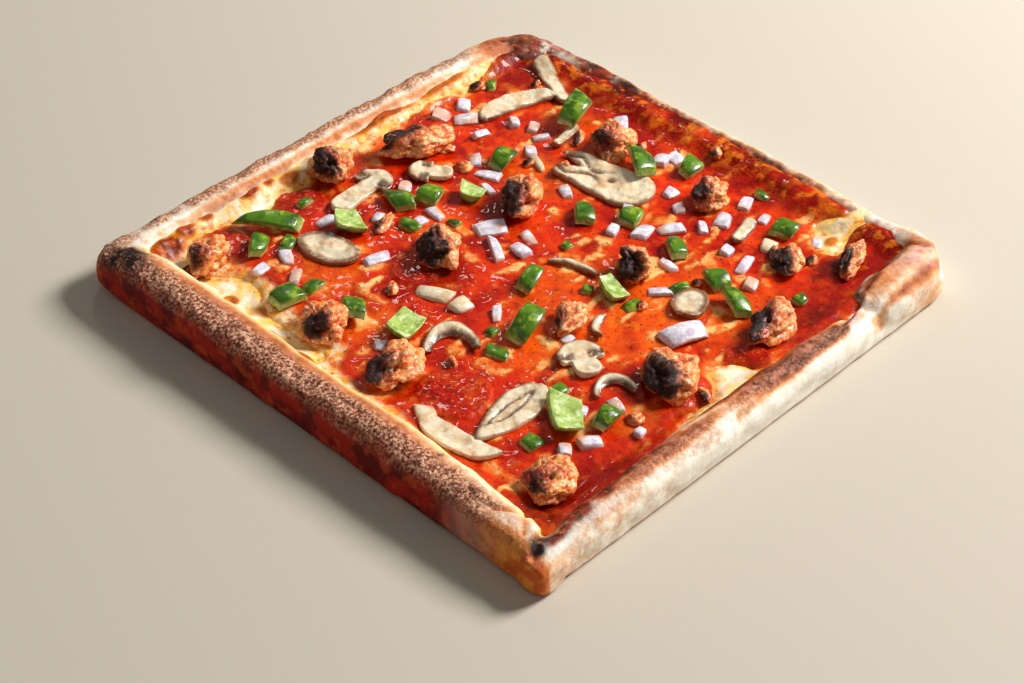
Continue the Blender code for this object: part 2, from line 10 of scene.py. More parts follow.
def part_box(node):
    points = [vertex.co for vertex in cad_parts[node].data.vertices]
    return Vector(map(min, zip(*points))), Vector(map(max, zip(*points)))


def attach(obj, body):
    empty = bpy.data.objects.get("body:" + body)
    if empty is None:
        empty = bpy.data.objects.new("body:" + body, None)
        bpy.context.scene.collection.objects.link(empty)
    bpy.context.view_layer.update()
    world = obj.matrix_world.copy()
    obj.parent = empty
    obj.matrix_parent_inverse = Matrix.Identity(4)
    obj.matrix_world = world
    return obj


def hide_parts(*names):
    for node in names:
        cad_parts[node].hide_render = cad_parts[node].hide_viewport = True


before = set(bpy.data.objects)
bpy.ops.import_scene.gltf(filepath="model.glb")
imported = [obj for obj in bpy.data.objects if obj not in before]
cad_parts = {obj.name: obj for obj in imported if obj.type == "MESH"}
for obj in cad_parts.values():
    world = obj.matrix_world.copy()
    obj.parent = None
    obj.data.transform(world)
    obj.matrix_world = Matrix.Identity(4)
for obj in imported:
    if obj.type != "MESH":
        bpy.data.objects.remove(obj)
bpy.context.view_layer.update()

# The dough is one piece: a flat base, with lengths of dough rolled by hand and pressed on round
# its edge. Baking left it cream on the front right, rough, brown and floury on top of the left
# roll, and charred at the seams. Its left wall is red-brown, partly sauce stain and partly
# painted shade, and the left roll's outer side carries less flour, also as painted shade.
MM = 0.001
PIZZA_HALF = 150.0
BASE_THICKNESS = 9.0
BASE_HALF = 148.6
BASE_CORNER = 20.0
BASE_ROUND = 2.5
ROLL_SIDES = 40
ROLL_RING = 2.4
ROLL_END = 11.0
ROLL_SQUARENESS = 2.5
DOUGH_GRAIN = 1.15
DOUGH_SMOOTHINGS = 5
ROLL_LIFT = 0.3
HIDDEN_HALF = 122.0
MARK_CORE = 0.45
MARK_EDGE = 1.25
DOUGH_ROLLS = {
    "left_foot": [
        (-141.5, -158, 17, 0.4, 15), (-141.5, -125, 17, 0.4, 14), (-141.5, -60, 17, 0.4, 12.5),
        (-141, 30, 17, 0.4, 12), (-141, 100, 17, 0.4, 13), (-138.5, 132, 20, 0.4, 14),
    ],
    "left_roll": [
        (-140.5, -143, 17, 6, 19), (-139.5, -128, 20, 5.5, 22), (-138.5, -100, 22, 5.5, 23),
        (-137.5, -50, 24, 5.5, 24.5), (-138.5, 0, 23, 5.5, 24), (-138, 60, 25, 5.5, 25),
        (-138, 107, 25, 5.5, 25.5), (-138.5, 137, 22, 6, 24.5),
    ],
    "front_roll": [
        (-160, -142.5, 16, 0.5, 15), (-143, -142, 16, 0.8, 17.5), (-112, -141.5, 16.5, 1, 22),
        (-60, -141, 18, 1, 22), (-10, -140.5, 18.5, 1, 21.5), (40, -141, 17, 1, 21),
        (86, -142.5, 14, 1, 19.5),
    ],
    "right_corner_roll": [
        (80, -139.5, 19, 1.5, 22.5), (104, -138, 25, 1.5, 25), (122, -137.5, 25, 1.5, 25.5),
        (134.5, -134, 21, 1.5, 24.5), (140, -125, 18, 1.5, 23), (142, -110, 16, 1.5, 21),
    ],
    "back_right_roll": [
        (140, -134, 15, 1.5, 20), (143.5, -60, 12.5, 1.5, 20), (144, 0, 12, 1.5, 19.5),
        (143.5, 60, 12.5, 1.5, 20.5), (140, 130, 16, 1.5, 21.5),
    ],
    "back_left_roll": [
        (-141, 112, 17, 1, 20), (-138.5, 138, 23, 1, 21.5), (-112, 140, 20, 1, 22.5),
        (-50, 140.5, 19, 1, 23), (20, 141, 18, 1, 23.5), (90, 141, 18, 1, 22.5),
        (127, 137, 21, 1, 22), (140.5, 112, 16, 1, 21),
    ],
    "back_blister": [
        (122, 138, 12, 8, 21), (135, 134, 16, 8, 22), (142, 122, 12, 8, 21.5),
    ],
}
# Charred places: x, y, reach along X, reach along Y, lowest height, strength.
CHARRED = [
    (-141, 130, 12, 14, 15, 1), (-140, 116, 6, 12, 20, 0.4), (-142, -139, 4, 5, 10, 1),
    (-136, -138, 6, 4, 13, 0.7), (134, 132, 10, 7, 17, 0.7), (144, 64, 4, 9, 17, 0.8),
    (144, 88, 4, 7, 17, 0.6), (144, 20, 3, 20, 18, 0.45), (144, -40, 3, 34, 18, 0.4),
    (69, -139.5, 6, 2.2, 12, 1), (80, -135.5, 7, 2.2, 12, 0.9), (146, -108, 4, 7, 15, 0.35),
    (-62, 147, 20, 2.6, 20, 0.25), (-18, 147, 14, 2.6, 20, 0.25), (-112, 147, 20, 3, 18, 0.4),
    (-133, -74, 2, 2, 18, 0.9),
]
# Browner places, likewise.
TOASTED = [
    (-60, -140, 44, 5, 17, 0.62), (30, -140.5, 52, 6, 16, 0.85), (20, -134.5, 62, 4, 10, 0.7),
    (104, -135, 26, 8, 20, 0.3), (134, -132, 12, 10, 21, 0.3), (145, 0, 9, 150, 12, 0.26),
    (130, 138, 26, 12, 12, 0.5), (-20, 145, 150, 5, 20, 0.22), (0, 134, 130, 3.5, 12, 0.34),
    (-137, 20, 9, 130, 20, 0.45), (-139, -118, 9, 20, 19, 0.08), (-147, -138, 6, 16, 3, 0.4),
    (-92, -135.5, 52, 4, 10, 0.8), (120, -136, 30, 16, 16, 0.16),
]
# Places glazed by sauce that boiled over and dried to a shiny brown, likewise.
GLAZED = [
    (-130, -140.5, 11, 3.4, 12, 1), (-114, -139.5, 12, 3.8, 13, 1),
    (-100, -138.5, 10, 3.2, 13, 0.8), (139, 10, 6.4, 150, 10, 1), (142, 92, 6, 60, 12, 1),
    (130, 126, 14, 9, 11, 1), (138, 130, 9, 9, 14, 1), (136, 119, 10, 12, 11, 1),
    (118, -127.5, 18, 4.2, 10, 1), (94, -131.5, 12, 3.6, 11, 1), (76, -134.5, 10, 3, 11, 1),
    (10, -134, 70, 2.6, 10, 0.7), (-70, 131, 60, 3, 10, 0.4),
]
# Dry places dusted with flour, partly a painted highlight on the fold and the crest, likewise.
DUST_AND_HIGHLIGHT_SPOTS = [
    (68, -143, 6, 2.2, 16, 1), (79, -139.5, 7, 2.2, 17, 1), (-108, -144.5, 18, 2.2, 15, 0.5),
    (124, -138, 18, 8, 21, 0.5),
]
# Folds in the dough: from x, y to x, y, then the width, the depth and the lowest height. A fold
# with a depth below zero is a raised lip.
FOLDS = [
    (-146, -141, -132, -134, 2.4, 1.9, 13), (-140, -111, -131, -122, 2.6, 1.7, 15),
    (-141, -131, -131, -123, 2.2, 1.2, 16), (64, -140, 86, -133, 2.2, 2.8, 12),
    (63, -144, 86, -137.5, 1.8, -1.3, 15), (90, -133, 112, -127, 2.6, 0.9, 17),
    (136, -134, 131, -122, 2.8, 1.2, 18), (-143, 138, -129, 126, 2.8, 1.3, 15),
    (125, 138, 137, 124, 2.6, 1, 17), (-20, -147, 60, -144, 3.6, 0.5, 8),
    (80, -147, 134, -145, 3.2, 0.6, 8),
]
# Colours of the dough as it bakes, and of the floury top from its hollows to its grains. Each has
# its place on a row from 0 to 1.
BAKED_STOPS = [
    (0.0, (255, 251, 240)), (0.16, (254, 246, 228)), (0.34, (238, 190, 146)),
    (0.55, (202, 122, 66)), (0.8, (146, 70, 28)), (1.0, (84, 36, 18)),
]
FLOUR_STOPS = [
    (0.0, (92, 40, 26)), (0.35, (156, 94, 68)), (0.65, (200, 144, 112)), (1.0, (236, 192, 158)),
]


def paint(red, green, blue):
    """A colour as it looks on a screen, 0 to 255, as the light values that a shader takes."""
    def light(value):
        value /= 255
        return value / 12.92 if value < 0.04045 else ((value + 0.055) / 1.055) ** 2.4

    return (light(red), light(green), light(blue), 1.0)


def through(knots, share):
    """The values on the smooth curve through the knots, at a share of the way along."""
    spans = len(knots) - 1
    span = min(int(share * spans), spans - 1)
    u = share * spans - span
    near = [knots[max(span - 1, 0)], knots[span], knots[span + 1], knots[min(span + 2, spans)]]
    return [
        0.5 * (2 * b + (c - a) * u + (2 * a - 5 * b + 4 * c - d) * u**2 + (3 * b - a - 3 * c + d) * u**3)
        for a, b, c, d in zip(*near)
    ]


def unevenness(point, spacing, seed=0.0):
    """Smooth bumps from -1 to 1, the same each time."""
    return noise.noise(Vector(point) / spacing + Vector((seed, 0.37 * seed, 1.3)))


def bumps(points, spacing, seed=0.0):
    return np.array([unevenness(point, spacing, seed) for point in points])


def eased(value, low=0.0, high=1.0):
    """Zero below low, one above high, and smooth between, for a number or an array."""
    share = np.clip((value - low) / (high - low), 0.0, 1.0)
    return share * share * (3 - 2 * share)


def rounded_power(value, power):
    return math.copysign(abs(value) ** power, value)


def lay_roll(work, knots):
    """One rolled length of dough: a sphere drawn out along the knots, squarish across."""
    length = sum(math.dist(a[:2], b[:2]) for a, b in zip(knots, knots[1:]))
    rings = round(length / ROLL_RING)
    ball = bmesh.ops.create_uvsphere(work, u_segments=ROLL_SIDES, v_segments=rings, radius=1)["verts"]
    frames = []
    for ring in range(rings + 1):
        share = ring / rings
        ahead = through(knots, min(share + 0.01, 1.0))
        behind = through(knots, max(share - 0.01, 0.0))
        side = Vector((ahead[1] - behind[1], behind[0] - ahead[0], 0)).normalized()
        from_end = min(share, 1 - share) * length / ROLL_END
        rounding = math.sqrt(max(1 - (1 - from_end) ** 2, 0)) if from_end < 1 else 1.0
        frames.append((through(knots, share), side, rounding))
    for vertex in ball:
        ring = round(math.acos(max(-1.0, min(1.0, vertex.co.z))) / math.pi * rings)
        angle = math.atan2(vertex.co.y, vertex.co.x)
        (x, y, width, under, top), side, rounding = frames[ring]
        across = rounded_power(math.cos(angle), 2 / ROLL_SQUARENESS) * rounding
        rise = rounded_power(math.sin(angle), 2 / ROLL_SQUARENESS) * rounding
        point = Vector((x, y, (under + top) / 2)) + side * across * width / 2
        point.z += rise * (top - under) / 2
        push = 0.8 * unevenness(point, 26) + 0.75 * unevenness(point, 13, 5) * rounding
        point += (side * across + Vector((0, 0, rise))) * push
        vertex.co = held_in(point, ROLL_LIFT)


def held_in(point, lowest):
    """The point, kept within the pizza's square and above a height."""
    x, y = (min(max(value, -PIZZA_HALF), PIZZA_HALF) for value in point[:2])
    return x, y, max(point.z, lowest)


def round_edges(work, edges, offset, segments):
    bmesh.ops.bevel(
        work, geom=edges, offset=offset, segments=segments, profile=0.5, affect="EDGES", material=-1
    )


def soften(work, times):
    axes = {"use_axis_x": True, "use_axis_y": True, "use_axis_z": True}
    for _ in range(times):
        bmesh.ops.smooth_vert(work, verts=work.verts, factor=0.5, **axes)


def lay_base(work):
    base = bmesh.ops.create_cube(work, size=2)["verts"]
    bmesh.ops.scale(work, vec=(BASE_HALF, BASE_HALF, BASE_THICKNESS / 2), verts=base)
    bmesh.ops.translate(work, vec=(0, 0, BASE_THICKNESS / 2), verts=base)
    round_edges(work, [e for e in work.edges if abs(e.verts[0].co.z - e.verts[1].co.z) > 1], BASE_CORNER, 9)
    round_edges(work, [e for e in work.edges if max(v.co.z for v in e.verts) < 1], BASE_ROUND, 4)


def as_object(name, work):
    """A piece from a bmesh whose lengths are millimetres, shaded smooth."""
    work.transform(Matrix.Scale(MM, 4))
    mesh = bpy.data.meshes.new(name)
    work.to_mesh(mesh)
    work.free()
    mesh.shade_smooth()
    made = bpy.data.objects.new(name, mesh)
    bpy.context.scene.collection.objects.link(made)
    return made


def one_skin(piece, grain):
    """Joins overlapping closed shapes into one even skin, with its lengths in millimetres."""
    modifier = piece.modifiers.new("skin", "REMESH")
    modifier.mode = "VOXEL"
    modifier.voxel_size = grain * MM
    graph = bpy.context.evaluated_depsgraph_get()
    mesh = bpy.data.meshes.new_from_object(piece.evaluated_get(graph))
    bpy.data.objects.remove(piece)
    work = bmesh.new()
    work.from_mesh(mesh)
    work.transform(Matrix.Scale(1 / MM, 4))
    return work


def places(work):
    return np.array([v.co for v in work.verts])


def facings(work):
    work.normal_update()
    return np.array([v.normal for v in work.verts])


def keep_mask(work, name, values):
    """Keeps a number from 0 to 1 on each point, for the finish to read by its name."""
    layer = work.verts.layers.float.new(name)
    for vertex, value in zip(work.verts, values):
        vertex[layer] = float(value)


def spot(x, y, mark_x, mark_y, reach_x, reach_y):
    """A mask of one mark, which fades out at its edge."""
    return eased(-np.hypot((x - mark_x) / reach_x, (y - mark_y) / reach_y), -MARK_EDGE, -MARK_CORE)


def spots(points, marks):
    """How much each point lies in one of the marks and above its lowest height."""
    x, y, z = points.T
    total = np.zeros(len(points))
    for *mark, lowest, strength in marks:
        total = np.maximum(total, strength * spot(x, y, *mark) * eased(z, lowest - 2, lowest + 2))
    return total


def from_line(x, y, start, stop):
    """How far each point lies from the straight line between two ends."""
    span_x, span_y = stop[0] - start[0], stop[1] - start[1]
    share = (x - start[0]) * span_x + (y - start[1]) * span_y
    share = np.clip(share / max(span_x**2 + span_y**2, 1e-9), 0, 1)
    return np.hypot(x - start[0] - share * span_x, y - start[1] - share * span_y)


def folded(points):
    """How deep the folds are pressed at each point, and a mask of where they are."""
    x, y, z = points.T
    press = np.zeros(len(points))
    creased = np.zeros(len(points))
    for start_x, start_y, stop_x, stop_y, width, depth, lowest in FOLDS:
        away = from_line(x, y, (start_x, start_y), (stop_x, stop_y))
        here = eased(-away / width, -1.3, 0) * eased(z, lowest - 3, lowest + 1)
        press += depth * here
        creased = np.maximum(creased, (depth > 0) * here**2)
    return press, creased


def dough_masks(points, facing):
    """Where the dough is floury, stained and painted in shade, amber, golden, toasted, glazed, dusty with
    painted highlights, and charred.
    """
    x, y, z = points.T
    ragged = bumps(points, 9, 3) * 2.6 + bumps(points, 3.5, 8) * 1.3
    upright = facing[:, 2] + 0.05 * ragged
    left = eased(z + ragged, 13, 18) * eased(-x + 0.6 * ragged, 132.5, 138.5) * eased(upright, 0.15, 0.5)
    left *= 1 - 0.7 * eased(-y + ragged, 100, 124)
    # Less flour on the outer side of the left roll, which faces away from the light: painted shade.
    left *= 1 - 0.6 * eased(-facing[:, 0] + 0.06 * ragged, 0.42, 0.75)
    back = 0.8 * eased(z + ragged, 18, 21) * eased(y + 0.7 * ragged, 136, 141) * eased(-x, -124, -90)
    front = 0.35 * eased(z + ragged, 18, 20.5) * eased(-y + ragged, 136, 141) * eased(-x, -130, -70)
    crumb = np.maximum(np.maximum(left, back), front)
    # The left wall and the outer shoulder of the left roll face away from the light. Their red-brown mask is
    # partly sauce stain and partly painted shade.
    shoulder = eased(-x, 138, 144) * eased(-facing[:, 0], 0.05, 0.5)
    wall = np.maximum(shoulder, eased(-x, 144, 147) * eased(-facing[:, 0], -0.3, 0.2))
    near = eased(-y + 0.8 * ragged, 84, 138)
    stained_and_shaded = wall * (1 - 0.9 * near)
    inner_left = eased(facing[:, 0], 0.25, 0.7) * eased(-x, 120, 124)
    inner_front = eased(facing[:, 1], 0.25, 0.7) * eased(-y, 120, 124) * eased(x, -20, 10)
    lip = np.maximum(inner_left, 0.25 * inner_front) * eased(z + 0.4 * ragged, 11, 14)
    browned = spots(points, TOASTED) + 0.16 * eased(z + ragged, 18, 23)
    toasted = 0.04 + browned * (0.15 + 0.85 * eased(upright, 0.2, 0.75))
    toasted = np.maximum(toasted, 0.75 * eased(-facing[:, 2], 0.6, 0.95))
    # The folds' creases are drawn darker, as painted shade; the left wall near the front is browned.
    toasted = toasted + 0.34 * folded(points)[1] + 0.5 * wall * near
    front_wall = eased(-y, 144.5, 147.5) * eased(-facing[:, 1], 0.3, 0.7)
    toasted += 0.2 * front_wall * eased(-x + 5 * ragged, 20, 116)
    toasted += 0.26 * front_wall * eased(x + 4 * ragged, 92, 116)
    glazed = spots(points, GLAZED) * np.clip(1 + 0.25 * ragged, 0.4, 1.2)
    charred = spots(points, CHARRED) * np.clip(1 + 0.3 * ragged, 0.4, 1.3)
    back_corner = 0.9 * eased(-x + 2 * ragged, 96, 146) * eased(y, 144, 147) * eased(-crumb, -0.6, -0.2)
    return {
        "crumb": crumb,
        "stain_and_shade": stained_and_shaded,
        "amber": np.maximum(wall * near, back_corner),
        "lip": lip,
        "toast": toasted,
        "glaze": np.clip(glazed, 0, 1),
        "dust_and_highlight": spots(points, DUST_AND_HIGHLIGHT_SPOTS) * np.clip(1 + 0.3 * ragged, 0.3, 1.2),
        "char": charred,
    }


def flatten_hidden(work):
    """Makes one flat face of the underside, and one of the base under the cheese."""
    middles = [(face, face.calc_center_median()) for face in work.faces]
    inner = [f for f, c in middles if abs(f.normal.z) > 0.97 and max(abs(c.x), abs(c.y)) < HIDDEN_HALF]
    bmesh.ops.delete(work, geom=inner, context="FACES")
    open_edges = [edge for edge in work.edges if edge.is_boundary]
    bmesh.ops.holes_fill(work, edges=open_edges, sides=0)
    bmesh.ops.recalc_face_normals(work, faces=work.faces)


dough_work = bmesh.new()
lay_base(dough_work)
for roll_knots in DOUGH_ROLLS.values():
    lay_roll(dough_work, roll_knots)
dough_work = one_skin(as_object("dough_parts", dough_work), DOUGH_GRAIN)
soften(dough_work, DOUGH_SMOOTHINGS)
flatten_hidden(dough_work)
dough_points = places(dough_work)
dough_facing = facings(dough_work)
masks = dough_masks(dough_points, dough_facing)
rough_bumps = bumps(dough_points, 5.5, 2) * 0.75 + bumps(dough_points, 2.4, 6) * 0.5
gentle_bumps = bumps(dough_points, 9, 4) * 0.55 + bumps(dough_points, 2.8, 7) * 0.12
dough_push = masks["crumb"] * rough_bumps + gentle_bumps * (1 - 0.5 * masks["crumb"])
dough_push = (dough_push - folded(dough_points)[0]) * eased(dough_points[:, 2], 0.3, 3)
for vertex, facing, push in zip(dough_work.verts, dough_facing, dough_push):
    vertex.co += Vector(facing) * float(push)
    vertex.co = held_in(vertex.co, 0.0)
for mask_name, mask_values in masks.items():
    keep_mask(dough_work, mask_name, mask_values)
dough_crust = as_object("dough_crust", dough_work)


def add_node(tree, kind, inputs=None, **settings):
    """A shader node with its settings, and with values or links on its inputs."""
    made = tree.nodes.new(kind)
    for name, value in settings.items():
        setattr(made, name, value)
    for name, value in (inputs or {}).items():
        if isinstance(value, bpy.types.NodeSocket):
            tree.links.new(value, made.inputs[name])
        else:
            made.inputs[name].default_value = value
    return made


def effect_group(name, inputs, outputs):
    """An empty node group with named number inputs, and its input and output nodes."""
    tree = bpy.data.node_groups.new(name, "ShaderNodeTree")
    for label, value in inputs.items():
        tree.interface.new_socket(label, in_out="INPUT", socket_type="NodeSocketFloat").default_value = value
    for label in outputs:
        tree.interface.new_socket(label, in_out="OUTPUT", socket_type="NodeSocketFloat")
    return tree, tree.nodes.new("NodeGroupInput"), tree.nodes.new("NodeGroupOutput")


def maths(tree, operation, first, second, **settings):
    """The number that one operation makes of two others."""
    made = add_node(tree, "ShaderNodeMath", {0: first, 1: second}, operation=operation, **settings)
    return made.outputs[0]


def both(tree, first, second):
    return maths(tree, "MULTIPLY", first, second)


def more(tree, first, second):
    return maths(tree, "ADD", first, second, use_clamp=True)


def remap(tree, value, low=0.0, high=1.0, to_low=0.0, to_high=1.0, **settings):
    """A number moved from one range to another and held within it."""
    inputs = {"Value": value, "From Min": low, "From Max": high, "To Min": to_low, "To Max": to_high}
    return add_node(tree, "ShaderNodeMapRange", inputs, **settings).outputs["Result"]


def make_mottle():
    """Cloudy patches of a given size in millimetres, as a mask from 0 to 1."""
    defaults = {"Size": 5.0, "Low": 0.4, "High": 0.6, "Detail": 4.0, "Shift": 0.0}
    tree, given, result = effect_group("mottle", defaults, ["Mask"])
    size, low, high, detail, shift = (given.outputs[name] for name in defaults)
    place = add_node(tree, "ShaderNodeTexCoord").outputs["Object"]
    offset = add_node(tree, "ShaderNodeCombineXYZ", {"X": shift, "Z": shift}).outputs[0]
    moved = add_node(tree, "ShaderNodeVectorMath", {0: place, 1: offset}, operation="ADD").outputs[0]
    scale = maths(tree, "DIVIDE", 1 / MM, size)
    cloud_inputs = {"Vector": moved, "Scale": scale, "Detail": detail, "Roughness": 0.55}
    cloud = add_node(tree, "ShaderNodeTexNoise", cloud_inputs).outputs[0]
    patches = remap(tree, cloud, low, high, interpolation_type="SMOOTHSTEP")
    tree.links.new(patches, result.inputs["Mask"])
    return tree


def make_relief():
    """Grain in two sizes, in millimetres, as a height in metres of a given depth."""
    tree, given, result = effect_group("grain_relief", {"Coarse": 3.0, "Fine": 0.8, "Depth": 0.2}, ["Height"])
    place = add_node(tree, "ShaderNodeTexCoord").outputs["Object"]
    heights = []
    for label, share in (("Coarse", 0.65), ("Fine", 0.35)):
        scale = maths(tree, "DIVIDE", 1 / MM, given.outputs[label])
        cloud = add_node(tree, "ShaderNodeTexNoise", {"Vector": place, "Scale": scale, "Detail": 3.0})
        heights.append(both(tree, cloud.outputs[0], share))
    height = both(tree, maths(tree, "ADD", *heights), given.outputs["Depth"])
    tree.links.new(both(tree, height, MM), result.inputs["Height"])
    return tree


MOTTLE = make_mottle()
RELIEF = make_relief()


def effect(tree, group, **inputs):
    return add_node(tree, "ShaderNodeGroup", inputs, node_tree=group).outputs[0]


def mottled(tree, size, low=0.4, high=0.6, shift=0.0, detail=4.0):
    """A mask of cloudy patches."""
    return effect(tree, MOTTLE, Size=size, Low=low, High=high, Shift=shift, Detail=detail)


def masks_of(tree, *names):
    """The masks that a piece's points carry."""
    return [add_node(tree, "ShaderNodeAttribute", attribute_name=name).outputs["Fac"] for name in names]


def as_light(colour):
    """A colour made by other nodes as it is, and one given as three numbers as light values."""
    return colour if isinstance(colour, bpy.types.NodeSocket) else paint(*colour)


def lay_colours(tree, colour, *layers):
    """Colours laid over one another. Each layer: its name, its colour, the mask that it is held to,
    its cloudy patches as mottled() takes them, and its strength. A mask or patches may be None."""
    colour = as_light(colour)
    for name, top, mask, patches, strength in layers:
        if patches is not None:
            cloud = mottled(tree, *patches)
            mask = cloud if mask is None else both(tree, mask, cloud)
        inputs = {0: both(tree, mask, strength), 6: colour, 7: as_light(top)}
        colour = add_node(tree, "ShaderNodeMix", inputs, data_type="RGBA", label=name).outputs[2]
    return colour


def ramp(tree, value, stops):
    """A colour read along a row of stops, each a place from 0 to 1 and a colour."""
    made = add_node(tree, "ShaderNodeValToRGB", {0: value})
    elements = made.color_ramp.elements
    while len(elements) < len(stops):
        elements.new(0.5)
    for element, (place, colour) in zip(elements, stops):
        element.position = place
        element.color = paint(*colour)
    return made.outputs["Color"]


def new_finish(name, roughness, coat=0.0, coat_roughness=0.1, specular=0.5):
    """A material, its node tree and its shader, with the numbers that are the same all over."""
    material = bpy.data.materials.new(name)
    material.use_nodes = True
    shader = material.node_tree.nodes["Principled BSDF"]
    shader.inputs["Roughness"].default_value = roughness
    shader.inputs["Specular IOR Level"].default_value = specular
    shader.inputs["Coat Weight"].default_value = coat
    shader.inputs["Coat Roughness"].default_value = coat_roughness
    return material, material.node_tree, shader


def dress(tree, shader, colour, coarse, fine, depth):
    """Gives a finish its colour, and grain in two sizes."""
    height = effect(tree, RELIEF, Coarse=coarse, Fine=fine, Depth=depth)
    bump = add_node(tree, "ShaderNodeBump", {"Height": height, "Strength": 1.0, "Distance": 1.0})
    tree.links.new(bump.outputs["Normal"], shader.inputs["Normal"])
    tree.links.new(colour, shader.inputs["Base Color"])


def baked_dough():
    material, tree, shader = new_finish("baked_dough", 0.7, specular=0.25)
    names = ("crumb", "stain_and_shade", "amber", "lip", "toast", "glaze", "dust_and_highlight", "char")
    crumb, stain_and_shade, amber, lip, toast, glaze, dust_and_highlight, char = masks_of(tree, *names)
    clouds = both(tree, mottled(tree, 14, 0.3, 0.7), 0.13)
    flecks = both(tree, mottled(tree, 3.0, 0.35, 0.65, 0.2), 0.12)
    baked = maths(tree, "ADD", maths(tree, "ADD", clouds, flecks), maths(tree, "SUBTRACT", toast, 0.12))
    golden = lay_colours(tree, (204, 88, 16), ("pale gold", (242, 158, 58), None, (8, 0.38, 0.6, 0.6), 1))
    # The left wall's red-brown: partly sauce stain, partly painted shade on the side away from the light.
    wall = lay_colours(
        tree,
        (166, 30, 8),
        ("dark stain", (98, 10, 4), None, (12, 0.38, 0.62, 0.1), 1),
        ("bare dough", (204, 84, 22), None, (7, 0.5, 0.66, 0.95), 0.5),
    )
    grains = ramp(tree, mottled(tree, 1.5, 0.33, 0.67, detail=3.0), FLOUR_STOPS)
    flour = lay_colours(tree, grains, ("browned flour", (104, 48, 34), None, (6, 0.48, 0.64, 0.4), 0.45))
    dried = lay_colours(
        tree,
        (140, 30, 6),
        ("dark glaze", (66, 10, 3), None, (5, 0.42, 0.6, 0.25), 1),
        ("amber glaze", (226, 118, 36), None, (4, 0.58, 0.68, 0.85), 0.8),
    )
    colour = lay_colours(
        tree,
        ramp(tree, baked, BAKED_STOPS),
        ("blush", (216, 140, 112), more(tree, toast, 0.14), (6, 0.46, 0.64, 0.5), 0.6),
        ("golden", golden, amber, None, 0.85),
        ("lip", (246, 202, 122), lip, (5, 0.26, 0.5, 0.7), 0.85),
        # Painted shade and stain down the left wall.
        ("wall", wall, stain_and_shade, None, 1),
        ("flour", flour, crumb, (4.4, 0.2, 0.42, 0.9), 1),
        # Pale lilac flour dust, partly a painted highlight.
        ("dust_and_highlight", (206, 190, 196), dust_and_highlight, (2, 0.3, 0.6), 0.85),
        ("dried sauce", dried, glaze, (6, 0.24, 0.46, 0.05), 0.95),
        ("soot", (34, 14, 10), char, (3.4, 0.22, 0.5, 0.3), 0.95),
    )
    tree.links.new(remap(tree, glaze, to_low=0.72, to_high=0.34), shader.inputs["Roughness"])
    dress(tree, shader, colour, 2.2, 0.7, remap(tree, crumb, to_low=0.3, to_high=1.6))
    return material


def place_piece(piece, material, slot, *nodes):
    """Gives a finished piece its material and its body, and hides the nodes it stands for. The slot is not
    used.
    """
    piece.data.materials.clear()
    piece.data.materials.append(material)
    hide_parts(*nodes)
    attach(piece, "root")


place_piece(dough_crust, baked_dough(), "dough", "crust")

# The cheese is one melted layer on the base. It shows, blistered and browned, along the left
# and back left rims, in patches by the front rim, and in a spot by the right corner.
FIELD_HALF = 143.0
FIELD_STEP = 1.0
FIELD_CORNER = 26.0
CHEESE_FLOOR = 9.4
CHEESE_LEVEL = 12.0
CHEESE_MOUND = 1.6
RIM_INNER = {"left": -126.5, "front": -131.5, "right": 138.0, "back": 131.5}
RIM_CLIMB = {"left": 3.0, "front": 3.0, "right": 5.5, "back": 6.0}
RIM_CLIMB_WIDTH = {"left": 8.0, "front": 8.0, "right": 18.0, "back": 11.0}
SAUCE_OUTLINE_STEPS = 4
SAUCE_OUTLINE = [
    (-132, -137), (-60, -138), (-34, -128), (-14, -127), (2, -112), (14, -120), (22, -134),
    (70, -138), (143, -138), (143, -104), (128, -97), (112, -101), (108, -90), (124, -78),
    (143, -72), (143, 128), (122, 134), (104, 129), (86, 124), (62, 128), (24, 125),
    (-8, 129), (-30, 123), (-52, 124), (-66, 116), (-84, 124), (-108, 124), (-116, 104),
    (-104, 88), (-106, 74), (-113, 60), (-115, 32), (-116, 18), (-130, 8), (-132, -60),
]
# Blisters of browned cheese: x, y, reach along X, reach along Y, strength.
BLISTERS = [
    (-118, 127, 12, 6, 1), (-104, 130, 6.5, 4, 0.9), (-90, 132, 5, 4, 0.8), (-62, 132, 7, 4.5, 1),
    (-49, 132, 4, 3, 0.8), (-38, 129, 7, 4, 0.7), (-121, 108, 6, 8, 0.8), (-119, 80, 4.5, 4.5, 0.8),
    (-114, 63, 5, 5, 0.5), (-124, 44, 3.5, 9, 0.7), (-126, 20, 3.5, 10, 0.7),
    (-126, 72, 3, 10, 0.6), (30, 133, 28, 4, 0.8), (74, 133, 20, 4, 0.7), (-38, -134, 8, 4, 0.6),
    (30, -134, 24, 5, 0.8), (60, -134, 14, 4, 0.7), (118, -93, 5, 4, 0.6),
]
cells = round(2 * FIELD_HALF / FIELD_STEP)
line = np.linspace(-FIELD_HALF, FIELD_HALF, cells + 1)
field_x, field_y = np.meshgrid(line, line, indexing="ij")


def field_bumps(spacing, seed=0.0, stretch=1.0):
    """Smooth bumps over the whole field, wider along X by the stretch."""
    flat = [unevenness((x / stretch, y, 0), spacing, seed) for x, y in zip(field_x.flat, field_y.flat)]
    return np.array(flat).reshape(field_x.shape)


def sauce_edge():
    """The sauce's edge, as a smooth closed curve through its outline points."""
    points = []
    count = len(SAUCE_OUTLINE)
    for index in range(count):
        near = [SAUCE_OUTLINE[(index + k) % count] for k in (-1, 0, 1, 2)]
        for step in range(SAUCE_OUTLINE_STEPS):
            points.append(through(near, (1 + step / SAUCE_OUTLINE_STEPS) / 3))
    return points


def within_rim():
    """The part of the field that ends inside the rim's rounded corners."""
    straight = FIELD_HALF - FIELD_CORNER
    away = np.hypot(np.maximum(abs(field_x) - straight, 0), np.maximum(abs(field_y) - straight, 0))
    return away <= FIELD_CORNER


